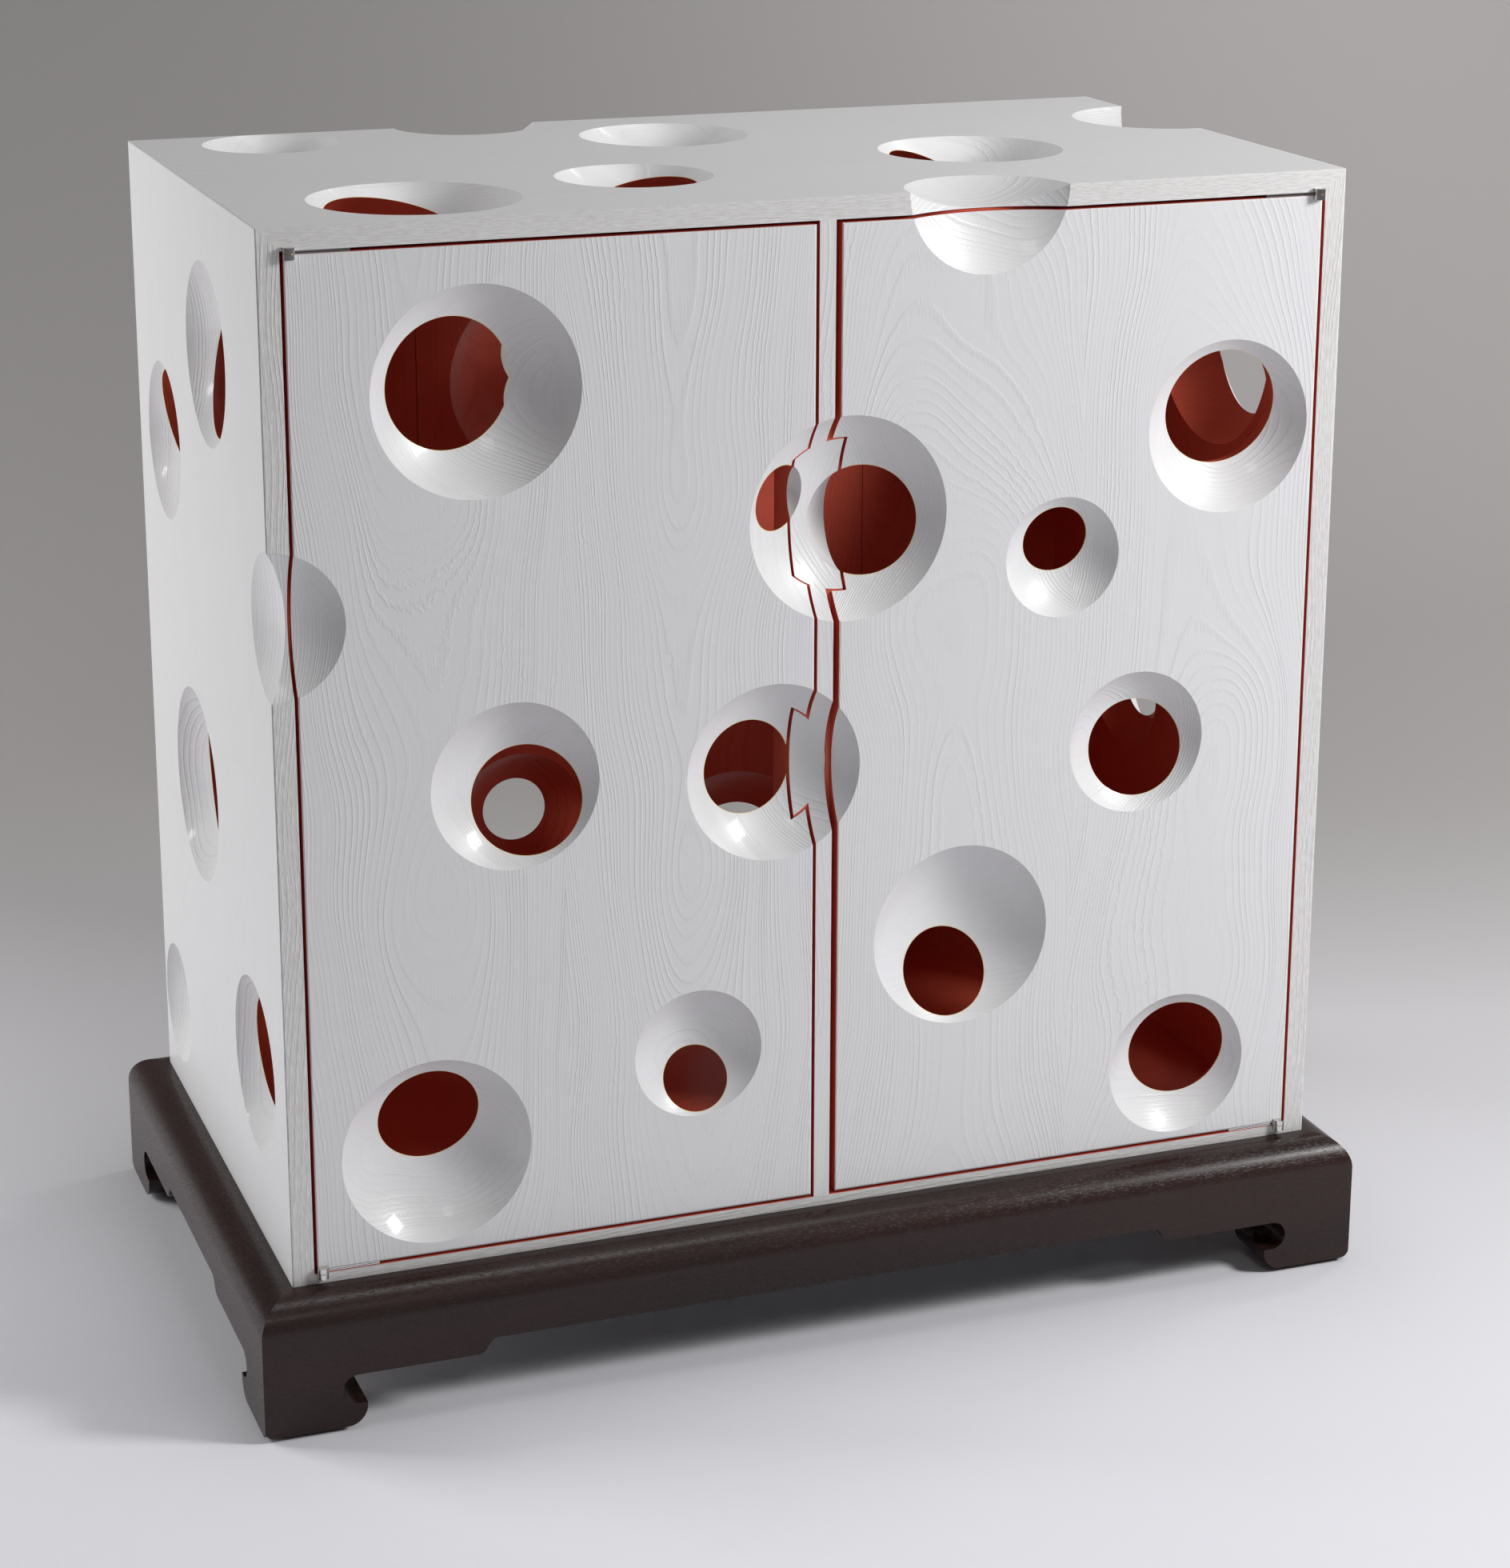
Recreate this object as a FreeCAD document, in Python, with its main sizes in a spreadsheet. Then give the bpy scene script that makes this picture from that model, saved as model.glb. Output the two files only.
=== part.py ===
import FreeCAD, Part
import math
import os
from collections import namedtuple

import Sketcher

# Two-door cabinet of thick painted boards, scooped out by balls from both sides of each board, on a
# dark bracket-foot stand. Millimetres. X runs to the right, the doors face -Y, Z is up.
# The origin is on the floor, under the middle of the stand's footprint.

DRIVING_SIZES = (
    # the box
    ("box_width", 960.0),
    ("box_depth", 525.0),
    ("box_height", 910.0),
    ("panel_thickness", 42.0),
    ("lip_width", 19.0),
    ("seam_gap", 0.8),
    # the post between the doors
    ("post_lip_width", 17.0),
    ("post_width", 44.0),
    ("post_depth", 70.0),
    # the doors
    ("door_thickness", 42.0),
    ("door_lip_depth", 18.5),
    ("reveal", 3.0),
    ("right_reveal", 5.5),
    ("lip_clearance", 1.0),
    # the knife hinges
    ("pivot_inset", 26.0),
    ("pivot_reach", 2.5),
    ("pivot_radius", 1.6),
    ("running_clearance", 0.05),
    ("knuckle_radius", 5.0),
    ("knuckle_height", 4.6),
    ("leaf_length", 50.0),
    ("leaf_width", 12.5),
    ("leaf_thickness", 2.4),
    ("leaf_setback", 1.0),
    ("leaf_tail", 4.0),
    ("washer_thickness", 0.4),
    ("washer_radius", 4.2),
    ("mortise_clearance", 0.3),
    ("screw_radius", 1.5),
    ("screw_head_radius", 3.0),
    ("screw_length", 15.0),
    # the magnets that hold the doors shut
    ("magnet_radius", 4.0),
    ("magnet_depth", 5.0),
    ("strike_depth", 3.0),
    # the stand
    ("pad_height", 4.0),
    ("pad_size", 42.0),
    ("pad_inset", 16.0),
    ("stand_height", 119.0),
    ("stand_overhang", 35.5),
    ("seat_depth", 10.0),
    ("seat_clearance", 0.3),
    ("rail_thickness", 58.0),
    ("rail_round", 29.0),
    ("foot_length", 89.0),
    ("toe_height", 20.5),
    ("toe_round", 18.0),
    ("foot_round", 8.0),
    ("foot_notch", 26.5),
    ("neck_length", 68.0),
    ("apron_length", 191.5),
    ("apron_slope", 8.5),
    ("apron_rise", 13.5),
    ("apron_round", 9.5),
    ("block_size", 40.0),
    ("block_height", 70.0),
    ("stand_screw_radius", 2.5),
    ("stand_screw_head_radius", 5.0),
    ("stand_screw_bite", 25.0),
    # every cut runs this far past the wood
    ("overrun", 5.0),
)

# A scoop is a ball pressed into a face: its rim's place as shares of the face's two lengths and its
# rim radius as a share of the seen height. Balls from inside meet it and open a hole: each has its
# centre's offset from the outside ball's centre, along the face's two lengths and into the box, and
# its radius, all as shares of the rim radius.
Scoop = namedtuple("Scoop", "first_share second_share rim_share inside_shares")
BALL_SHARE = 1.379
BALL_STANDOFF_SHARE = 0.95
# Two lengths in mm, or two directions, that differ by less count as the same.
LENGTH_TOLERANCE = 0.001
PARALLEL_TOLERANCE = 0.000001

# The front: shares of the width and of the seen height.
FRONT_SCOOP_SHARES = {
    "upper_left": Scoop(0.1839, 0.8420, 0.0985, ((-0.404, 0.095, 2.422, BALL_SHARE),)),
    "upper_right": Scoop(0.8909, 0.7550, 0.0855, ((0.000, 0.240, 1.531, 0.766),)),
    "small_right": Scoop(0.7282, 0.6390, 0.0595, ((-0.048, 0.493, 2.469, BALL_SHARE),)),
    "middle_right": Scoop(0.8078, 0.4438, 0.0719, ((0.181, -0.297, 2.380, BALL_SHARE),)),
    "lower_middle": Scoop(0.6344, 0.2655, 0.0920, ((-0.166, -0.974, 2.389, BALL_SHARE),)),
    "lower_right": Scoop(0.8609, 0.0955, 0.0746, ((0.165, 0.215, 1.901, 0.995),)),
    "small_left": Scoop(0.3788, 0.1788, 0.0644, ((0.052, -0.987, 2.372, BALL_SHARE),)),
    "lower_left": Scoop(0.1342, 0.1158, 0.0923, ((-0.032, 0.619, 2.466, BALL_SHARE),)),
    "middle_left": Scoop(0.2118, 0.4686, 0.0812, ((0.386, -0.500, 2.358, BALL_SHARE),)),
    "centre_low": Scoop(0.4508, 0.4541, 0.0875, ((-0.426, 0.001, 2.511, BALL_SHARE),)),
    "centre_high_left": Scoop(0.5204, 0.6955, 0.0993, ((-0.977, 0.321, 1.797, 0.800),)),
    "centre_high_right": Scoop(0.5204, 0.6955, 0.0993, ((0.486, -0.190, 2.490, BALL_SHARE),)),
    "centre_high_post": Scoop(
        0.5204,
        0.6955,
        0.0993,
        ((-0.595, 0.193, 1.058, 0.357), (0.233, -0.092, 1.196, 0.535)),
    ),
}
# The top: shares of the width and of the depth.
TOP_SCOOP_SHARES = {
    "top_back_left": Scoop(0.1228, 0.8792, 0.0690, ()),
    "top_front_left": Scoop(0.1637, 0.2081, 0.0988, ((-0.303, 0.448, 2.162, 1.180),)),
    "top_back": Scoop(0.4913, 0.7617, 0.0864, ()),
    "top_front": Scoop(0.3810, 0.3185, 0.0759, ((0.452, 0.220, 2.393, BALL_SHARE),)),
    "top_right": Scoop(0.7306, 0.4197, 0.0924, ((-0.724, 0.766, 2.404, BALL_SHARE),)),
}
# The sides: shares of the depth and of the seen height.
LEFT_SCOOP_SHARES = {
    "left_high": Scoop(0.4020, 0.8456, 0.0880, ((-0.112, -0.386, 2.325, BALL_SHARE),)),
    "left_back": Scoop(0.7826, 0.7172, 0.0794, ((0.109, 0.278, 1.524, 0.760),)),
    "left_middle": Scoop(0.6176, 0.3852, 0.0982, ((-0.264, 0.091, 2.249, BALL_SHARE),)),
    "left_low": Scoop(0.2283, 0.1733, 0.0863, ((0.099, 0.112, 2.362, BALL_SHARE),)),
    "left_low_back": Scoop(0.8830, 0.0940, 0.0635, ()),
}
RIGHT_SCOOP_SHARES = {
    "right_high": Scoop(0.2570, 0.8220, 0.1034, ((0.250, 0.000, 2.073, BALL_SHARE),)),
    "right_middle": Scoop(0.6000, 0.4000, 0.0800, ((0.000, 0.000, 2.495, BALL_SHARE),)),
    "right_front": Scoop(0.2600, 0.5500, 0.0640, ()),
    "right_low": Scoop(0.3500, 0.1600, 0.0880, ((-0.300, 0.300, 2.400, BALL_SHARE),)),
}
# The back: shares of the width from the left and of the seen height.
BACK_SCOOP_SHARES = {
    "back_low_left": Scoop(0.3618, 0.2520, 0.0700, ((0.000, 0.000, 2.567, BALL_SHARE),)),
    "back_high": Scoop(0.4205, 0.7750, 0.0750, ((-0.333, -0.533, 2.916, 1.949),)),
    "back_high_lower": Scoop(0.4205, 0.6850, 0.0750, ()),
    "back_low_right": Scoop(0.6139, 0.1720, 0.0760, ((-0.303, 0.105, 2.753, 1.724),)),
    "back_right": Scoop(0.8800, 0.5600, 0.0900, ()),
    "back_left": Scoop(0.1250, 0.5000, 0.0850, ()),
}
# Scoops on an edge are two balls, one through each face, that share the edge's two end points.
# Each has a share along the edge, a rim radius and a stand-off as shares of the seen height.
FRONT_TOP_EDGE_SHARES = (0.6504, 0.0811, 0.140)
FRONT_LEFT_EDGE_SHARES = (0.6400, 0.0704, 0.110)
BACK_TOP_EDGE_SHARES = (0.3292, 0.0750, 0.120)
RIGHT_TOP_EDGE_SHARES = (0.6850, 0.0935, 0.140)

# Seams of the back, as shares of the width, and the magnets, as shares of the seen height.
BACK_SEAM_SHARES = (0.2640, 0.7360)
MAGNET_SHARES = (0.080, 0.920)
# Screws of a hinge leaf, as shares of its length.
LEAF_SCREW_SHARES = (0.45, 0.82)

document = FreeCAD.newDocument("Cabinet")
sheet = document.addObject("Spreadsheet::Sheet", "Sizes")
for row, (alias, value) in enumerate(DRIVING_SIZES, start=1):
    sheet.set("A%d" % row, alias)
    sheet.set("B%d" % row, str(value))
    sheet.setAlias("B%d" % row, alias)
document.recompute()

# Planes and lengths that follow from the driving sizes.
LEFT = "(-Sizes.box_width / 2)"
RIGHT = "(Sizes.box_width / 2)"
FRONT = "(-Sizes.box_depth / 2)"
BACK = "(Sizes.box_depth / 2)"
RIM = "(Sizes.pad_height + Sizes.stand_height)"
BOX_LOW = "(%s - Sizes.seat_depth)" % RIM
BOX_TOP = "(%s + Sizes.box_height)" % BOX_LOW
SEEN_HEIGHT = "(Sizes.box_height - Sizes.seat_depth)"
REBATE_DEPTH = "(Sizes.door_lip_depth + Sizes.lip_clearance)"
LIP_LOW = "(%s + Sizes.lip_width)" % BOX_LOW
LIP_TOP = "(%s - Sizes.lip_width)" % BOX_TOP
INNER_LOW = "(%s + Sizes.panel_thickness)" % BOX_LOW
INNER_TOP = "(%s - Sizes.panel_thickness)" % BOX_TOP
INNER_LEFT = "(%s + Sizes.panel_thickness)" % LEFT
INNER_RIGHT = "(%s - Sizes.panel_thickness)" % RIGHT
PIVOT_Y = "(%s - Sizes.pivot_reach)" % FRONT

nodes = {}


def size(alias):
    """The number that a cell of the sheet holds."""
    return float(sheet.get(alias))


def place(feature, x, y, z):
    """Bind a feature's position to the sheet."""
    feature.setExpression(".Placement.Base.x", x)
    feature.setExpression(".Placement.Base.y", y)
    feature.setExpression(".Placement.Base.z", z)


def block(name, low, high):
    """A box between two corners given as expressions."""
    feature = document.addObject("Part::Box", name)
    feature.setExpression("Length", "%s - %s" % (high[0], low[0]))
    feature.setExpression("Width", "%s - %s" % (high[1], low[1]))
    feature.setExpression("Height", "%s - %s" % (high[2], low[2]))
    place(feature, *low)
    return feature


def ball(name, centre, radius, turn=None):
    """A ball. The turn keeps its poles and seam out of the wood that it cuts."""
    feature = document.addObject("Part::Sphere", name)
    if turn is not None:
        feature.Placement = FreeCAD.Placement(FreeCAD.Vector(), turn)
    feature.setExpression("Radius", radius)
    place(feature, *centre)
    return feature


def rod(name, foot, radius, length, turn=None):
    """A cylinder from its foot, upright unless it is turned."""
    feature = document.addObject("Part::Cylinder", name)
    if turn is not None:
        feature.Placement = FreeCAD.Placement(FreeCAD.Vector(), turn)
    feature.setExpression("Radius", radius)
    feature.setExpression("Height", length)
    place(feature, *foot)
    return feature


def taper(name, foot, low_radius, high_radius, length):
    """An upright cone frustum from its foot."""
    feature = document.addObject("Part::Cone", name)
    feature.setExpression("Radius1", low_radius)
    feature.setExpression("Radius2", high_radius)
    feature.setExpression("Height", length)
    place(feature, *foot)
    return feature


def fuse(name, pieces):
    """One solid from several that overlap, or the one piece itself."""
    if len(pieces) == 1:
        return pieces[0]
    feature = document.addObject("Part::MultiFuse", name)
    feature.Shapes = pieces
    feature.Refine = True
    return feature


def group(name, pieces):
    """Several separate solids that share a node."""
    feature = document.addObject("Part::Compound", name)
    feature.Links = pieces
    return feature


def cut(name, base, tools):
    """The base without its tools."""
    feature = document.addObject("Part::Cut", name)
    feature.Base = base
    feature.Tool = fuse(name + "_tools", tools)
    return feature


def keep(label, feature):
    """Name a finished sub-part."""
    feature.Label = label
    nodes[label] = feature
    return feature


def origin_plane(body, role):
    """One of a body's own base planes."""
    return next(item for item in body.Origin.OriginFeatures if item.Role == role)


def outline_sketch(body, name, role, points):
    """A closed outline of straight lines, each corner bound to the sheet."""
    sketch = body.newObject("Sketcher::SketchObject", name)
    sketch.AttachmentSupport = [(origin_plane(body, role), "")]
    sketch.MapMode = "FlatFace"
    count = len(points)
    for index in range(count):
        start = FreeCAD.Vector(index, index * index + 1, 0)
        end = FreeCAD.Vector(index + 1, (index + 1) * (index + 1) + 1, 0)
        sketch.addGeometry(Part.LineSegment(start, end), False)
    for index in range(count):
        sketch.addConstraint(Sketcher.Constraint("Coincident", index, 2, (index + 1) % count, 1))
    for index, (across, up) in enumerate(points):
        for kind, expression in (("DistanceX", across), ("DistanceY", up)):
            number = sketch.addConstraint(Sketcher.Constraint(kind, -1, 1, index, 1, 1.0))
            sketch.setExpression("Constraints[%d]" % number, expression)
    return sketch


def board(name, points):
    """A panel with mitred ends: its outline seen from the front, padded from the back to the front."""
    body = document.addObject("PartDesign::Body", name)
    pad = body.newObject("PartDesign::Pad", name + "_pad")
    pad.Profile = outline_sketch(body, name + "_outline", "XZ_Plane", points)
    pad.setExpression("Length", "Sizes.box_depth")
    body.Tip = pad
    place(body, "0", BACK, "0")
    return body


# Turns that put a ball's poles and seam beside the face that it cuts, and that lay a cylinder down.
FACING_UP = FreeCAD.Rotation(FreeCAD.Vector(1, 0, 0), 90)
FACING_SIDE = FreeCAD.Rotation(FreeCAD.Vector(0, 0, 1), 90)
BACKWARD = FreeCAD.Rotation(FreeCAD.Vector(1, 0, 0), -90)
SIDEWAYS = FreeCAD.Rotation(FreeCAD.Vector(0, 1, 0), 90)


def across(share):
    """A place along the width."""
    return "(%s + Sizes.box_width * %s)" % (LEFT, share)


def along(share):
    """A place along the depth, from the front."""
    return "(%s + Sizes.box_depth * %s)" % (FRONT, share)


def up(share):
    """A place up the seen height, from the stand's rim."""
    return "(%s + %s * %s)" % (RIM, SEEN_HEIGHT, share)


def seen(share):
    """A length as a share of the seen height."""
    return "(%s * %s)" % (SEEN_HEIGHT, share)


class Face:
    """A face that is scooped: how its two lengths and its depth become X, Y and Z."""

    def __init__(self, first, second, plane, inward, order, turn):
        self.first = first
        self.second = second
        self.plane = plane
        self.inward = inward
        self.order = order
        self.turn = turn

    def deeper(self, start, length):
        """A depth that is a length further into the box."""
        return "(%s %s %s)" % (start, "+" if self.inward else "-", length)

    def shallower(self, start, length):
        """A depth that is a length further out of the box."""
        return "(%s %s %s)" % (start, "-" if self.inward else "+", length)

    def spot(self, first, second, depth):
        """X, Y and Z of a place on or behind the face."""
        places = (first, second, depth)
        return tuple(places[index] for index in self.order)

    def balls(self, name, scoop):
        """The outside ball of a scoop, and the balls that meet it from inside."""
        rim = seen(scoop.rim_share)
        first = self.first(scoop.first_share)
        second = self.second(scoop.second_share)
        outside = self.shallower(self.plane, "%s * %s" % (rim, BALL_STANDOFF_SHARE))
        radius = "%s * %s" % (rim, BALL_SHARE)
        balls = [ball(name + "_outside", self.spot(first, second, outside), radius, self.turn)]
        for number, shares in enumerate(scoop.inside_shares):
            first_share, second_share, depth_share, radius_share = shares
            centre = self.spot(
                "(%s + %s * %s)" % (first, rim, first_share),
                "(%s + %s * %s)" % (second, rim, second_share),
                self.deeper(outside, "%s * %s" % (rim, depth_share)),
            )
            radius = "%s * %s" % (rim, radius_share)
            balls.append(ball("%s_inside_%d" % (name, number), centre, radius, self.turn))
        return balls

    def scooped(self, scoops):
        """The balls of each scoop of a face."""
        return {name: self.balls(name, scoop) for name, scoop in scoops.items()}


front_face = Face(across, up, FRONT, True, (0, 2, 1), None)
back_face = Face(across, up, BACK, False, (0, 2, 1), None)
top_face = Face(across, along, BOX_TOP, False, (0, 1, 2), FACING_UP)
left_face = Face(along, up, LEFT, True, (2, 0, 1), FACING_SIDE)
right_face = Face(along, up, RIGHT, False, (2, 0, 1), FACING_SIDE)


def edge_scoop(name, shares, corner, outward, turns):
    """Two balls, one through each face that meets at the edge."""
    rim_share, standoff_share = shares[1:]
    radius = seen(math.hypot(rim_share, standoff_share))
    balls = []
    for index, ((step_x, step_y, step_z), turn) in enumerate(zip(outward, turns)):
        centre = (
            "(%s + %s * %d)" % (corner[0], seen(standoff_share), step_x),
            "(%s + %s * %d)" % (corner[1], seen(standoff_share), step_y),
            "(%s + %s * %d)" % (corner[2], seen(standoff_share), step_z),
        )
        balls.append(ball("%s_%d" % (name, index), centre, radius, turn))
    return balls


def all_of(balls_by_scoop, names=None):
    """One list of the balls of some scoops, or of them all."""
    return [item for name in names or balls_by_scoop for item in balls_by_scoop[name]]


front_balls = front_face.scooped(FRONT_SCOOP_SHARES)
back_balls = back_face.scooped(BACK_SCOOP_SHARES)
top_balls = all_of(top_face.scooped(TOP_SCOOP_SHARES))
left_balls = all_of(left_face.scooped(LEFT_SCOOP_SHARES))
right_balls = all_of(right_face.scooped(RIGHT_SCOOP_SHARES))
front_top_edge = edge_scoop(
    "front_top_edge",
    FRONT_TOP_EDGE_SHARES,
    (across(FRONT_TOP_EDGE_SHARES[0]), FRONT, BOX_TOP),
    ((0, -1, 0), (0, 0, 1)),
    (None, FACING_UP),
)
front_left_edge = edge_scoop(
    "front_left_edge",
    FRONT_LEFT_EDGE_SHARES,
    (LEFT, FRONT, up(FRONT_LEFT_EDGE_SHARES[0])),
    ((0, -1, 0), (-1, 0, 0)),
    (None, FACING_SIDE),
)
back_top_edge = edge_scoop(
    "back_top_edge",
    BACK_TOP_EDGE_SHARES,
    (across(BACK_TOP_EDGE_SHARES[0]), BACK, BOX_TOP),
    ((0, 1, 0), (0, 0, 1)),
    (None, FACING_UP),
)
right_top_edge = edge_scoop(
    "right_top_edge",
    RIGHT_TOP_EDGE_SHARES,
    (RIGHT, along(RIGHT_TOP_EDGE_SHARES[0]), BOX_TOP),
    ((1, 0, 0), (0, 0, 1)),
    (FACING_SIDE, FACING_UP),
)


# Knife hinges: a leaf let into the box's lip, a leaf let into the door's edge, a washer between
# them and a pin through both knuckles, which stand just proud of the front.
HINGES = (
    ("top_left", -1, 1),
    ("bottom_left", -1, -1),
    ("top_right", 1, 1),
    ("bottom_right", 1, -1),
)


def pivot_x(side):
    """The hinge axis of a door; side is -1 on the left, 1 on the right."""
    if side < 0:
        return "(%s + Sizes.pivot_inset)" % LEFT
    return "(%s - Sizes.pivot_inset)" % RIGHT


def lip_edge(end):
    """The lip that carries a hinge; end is 1 at the top, -1 at the bottom."""
    return LIP_TOP if end > 0 else LIP_LOW


def door_edge(end):
    """The door's own edge at that end."""
    if end > 0:
        return "(%s - Sizes.reveal)" % LIP_TOP
    return "(%s + Sizes.reveal)" % LIP_LOW


def gap_middle(end):
    """Half way between the lip and the door."""
    return "(%s - Sizes.reveal / 2 * %d)" % (lip_edge(end), end)


def leaf_levels(end, on_door):
    """Lowest and highest level of a leaf: it stands off the gap's middle by half a washer."""
    away = "(Sizes.washer_thickness / 2 + Sizes.running_clearance)"
    near_case = "(%s + %s)" % (gap_middle(end), away)
    near_door = "(%s - %s)" % (gap_middle(end), away)
    above = on_door == (end < 0)
    if above:
        return near_case, "(%s + Sizes.leaf_thickness)" % near_case
    return "(%s - Sizes.leaf_thickness)" % near_door, near_door


def knuckle_levels(end, on_door):
    """Lowest and highest level of a knuckle."""
    low, high = leaf_levels(end, on_door)
    if on_door == (end < 0):
        return low, "(%s + Sizes.knuckle_height)" % low
    return "(%s - Sizes.knuckle_height)" % high, high


def leaf_span(side, grown):
    """Ends of a leaf along the front, grown all round by a clearance."""
    tail = "%s + Sizes.leaf_tail * %d" % (pivot_x(side), side)
    tip = "%s - Sizes.leaf_length * %d" % (pivot_x(side), side)
    low, high = (tail, tip) if side < 0 else (tip, tail)
    return "(%s - %s)" % (low, grown), "(%s + %s)" % (high, grown)


def leaf_solids(name, side, end, on_door, grown):
    """Plate, neck and knuckle of a leaf. Grown by a clearance it is the mortise's cutter."""
    low, high = leaf_levels(end, on_door)
    knuckle_low, knuckle_high = knuckle_levels(end, on_door)
    plate_from, plate_to = leaf_span(side, grown)
    plate_front = "(%s + Sizes.leaf_setback - %s)" % (FRONT, grown)
    plate_back = "(%s + Sizes.leaf_setback + Sizes.leaf_width + %s)" % (FRONT, grown)
    neck_left = "(%s - Sizes.leaf_tail - %s)" % (pivot_x(side), grown)
    neck_right = "(%s + Sizes.leaf_tail + %s)" % (pivot_x(side), grown)
    plate = block(name + "_plate", (plate_from, plate_front, low), (plate_to, plate_back, high))
    neck = block(name + "_neck", (neck_left, PIVOT_Y, low), (neck_right, plate_back, high))
    grown_radius = "Sizes.knuckle_radius + %s" % grown
    length = "%s - %s" % (knuckle_high, knuckle_low)
    knuckle = rod(name + "_knuckle", (pivot_x(side), PIVOT_Y, knuckle_low), grown_radius, length)
    return [plate, neck, knuckle]


def leaf_screws(name, side, end, on_door, grown):
    """Countersunk screws of a leaf, or the holes for them when grown."""
    low, high = leaf_levels(end, on_door)
    points_up = on_door == (end < 0)
    screws = []
    for index, share in enumerate(LEAF_SCREW_SHARES):
        x = "(%s - Sizes.leaf_length * %s * %d)" % (pivot_x(side), share, side)
        y = "(%s + Sizes.leaf_setback + Sizes.leaf_width / 2)" % FRONT
        head = "Sizes.screw_head_radius + %s" % grown
        shank = "Sizes.screw_radius + %s" % grown
        label = "%s_%d" % (name, index)
        if points_up:
            cone = taper(label + "_head", (x, y, low), head, shank, "Sizes.leaf_thickness")
            foot = (x, y, low)
        else:
            cone = taper(label + "_head", (x, y, low), shank, head, "Sizes.leaf_thickness")
            foot = (x, y, "(%s - Sizes.screw_length - %s)" % (high, grown))
        stem = rod(label + "_stem", foot, shank, "Sizes.screw_length + %s" % grown)
        screws.append(fuse(label, [cone, stem]))
    return screws


no_growth = "0"
case_screws = []
door_screws = {-1: [], 1: []}
washers = []
pins = []
lip_mortises = {1: [], -1: []}
door_mortises = {-1: [], 1: []}
for hinge, side, end in HINGES:
    bore_foot = knuckle_levels(end, end > 0)[0]
    bore_head = knuckle_levels(end, end < 0)[1]
    pin_length = "%s - %s" % (bore_head, bore_foot)
    bore_place = (pivot_x(side), PIVOT_Y, bore_foot)
    bore = rod(hinge + "_bore", bore_place, "Sizes.pivot_radius + Sizes.running_clearance", pin_length)
    pins.append(rod(hinge + "_pin", bore_place, "Sizes.pivot_radius", pin_length))
    washer_foot = "(%s - Sizes.washer_thickness / 2)" % gap_middle(end)
    disc_place = (pivot_x(side), PIVOT_Y, washer_foot)
    disc = rod(hinge + "_disc", disc_place, "Sizes.washer_radius", "Sizes.washer_thickness")
    washers.append(cut(hinge + "_washer", disc, [bore]))
    for carrier, on_door in (("case", False), ("door", True)):
        name = "%s_hinge_%s_leaf" % (hinge, carrier)
        solid = fuse(name + "_solid", leaf_solids(name, side, end, on_door, no_growth))
        holes = leaf_screws(name + "_hole", side, end, on_door, "Sizes.running_clearance")
        keep(name, cut(name + "_cut", solid, [bore] + holes))
        screws = leaf_screws(name + "_screw", side, end, on_door, no_growth)
        mortise = leaf_solids(name + "_mortise", side, end, on_door, "Sizes.mortise_clearance")
        if on_door:
            door_screws[side] += screws
            door_mortises[side] += mortise + holes
        else:
            case_screws += screws
            lip_mortises[end] += mortise + holes
keep("hinge_pins", group("hinge_pin_group", pins))
keep("hinge_washers", group("hinge_washer_group", washers))
keep("case_hinge_screws", group("case_screw_group", case_screws))
keep("left_door_hinge_screws", group("left_screw_group", door_screws[-1]))
keep("right_door_hinge_screws", group("right_screw_group", door_screws[1]))


# Magnets in the post's shoulders and steel discs in the backs of the door lips.
def discs(name, x, y, radius, depth):
    """One disc or bore at each magnet's level, lying along the depth."""
    return [
        rod("%s_%d" % (name, number), (x, y, up(share)), radius, depth, BACKWARD)
        for number, share in enumerate(MAGNET_SHARES)
    ]


SHOULDER_Y = "(%s + %s)" % (FRONT, REBATE_DEPTH)
STRIKE_Y = "(%s + Sizes.door_lip_depth - Sizes.strike_depth)" % FRONT
magnet_bore = "Sizes.magnet_radius + Sizes.running_clearance"
magnet_bores = []
strike_bores = {}
for side_name, side in (("left", -1), ("right", 1)):
    x = "(%d * (Sizes.post_lip_width / 2 + Sizes.reveal + Sizes.post_width / 2) / 2)" % side
    magnets = discs(side_name + "_magnet", x, SHOULDER_Y, "Sizes.magnet_radius", "Sizes.magnet_depth")
    strikes = discs(side_name + "_strike", x, STRIKE_Y, "Sizes.magnet_radius", "Sizes.strike_depth")
    magnet_bores += discs(side_name + "_magnet_bore", x, SHOULDER_Y, magnet_bore, "Sizes.magnet_depth")
    strike_bores[side] = discs(side_name + "_strike_bore", x, STRIKE_Y, magnet_bore, "Sizes.strike_depth")
    keep(side_name + "_catch_magnets", group(side_name + "_magnet_group", magnets))
    keep(side_name + "_strike_discs", group(side_name + "_strike_group", strikes))


# The box: four mitred panels with a rebate for the doors, and the back between them.
rebate = block(
    "door_rebate",
    ("(%s + Sizes.lip_width)" % LEFT, "(%s - Sizes.overrun)" % FRONT, LIP_LOW),
    ("(%s - Sizes.lip_width)" % RIGHT, "(%s + %s)" % (FRONT, REBATE_DEPTH), LIP_TOP),
)
OUTER_CORNERS = ((LEFT, BOX_LOW), (LEFT, BOX_TOP), (RIGHT, BOX_TOP), (RIGHT, BOX_LOW))
INNER_CORNERS = (
    (INNER_LEFT, INNER_LOW),
    (INNER_LEFT, INNER_TOP),
    (INNER_RIGHT, INNER_TOP),
    (INNER_RIGHT, INNER_LOW),
)


def mitred(number):
    """The outline of a panel between two neighbouring mitred corners."""
    following = (number + 1) % len(OUTER_CORNERS)
    return (
        OUTER_CORNERS[number],
        OUTER_CORNERS[following],
        INNER_CORNERS[following],
        INNER_CORNERS[number],
    )


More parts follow.
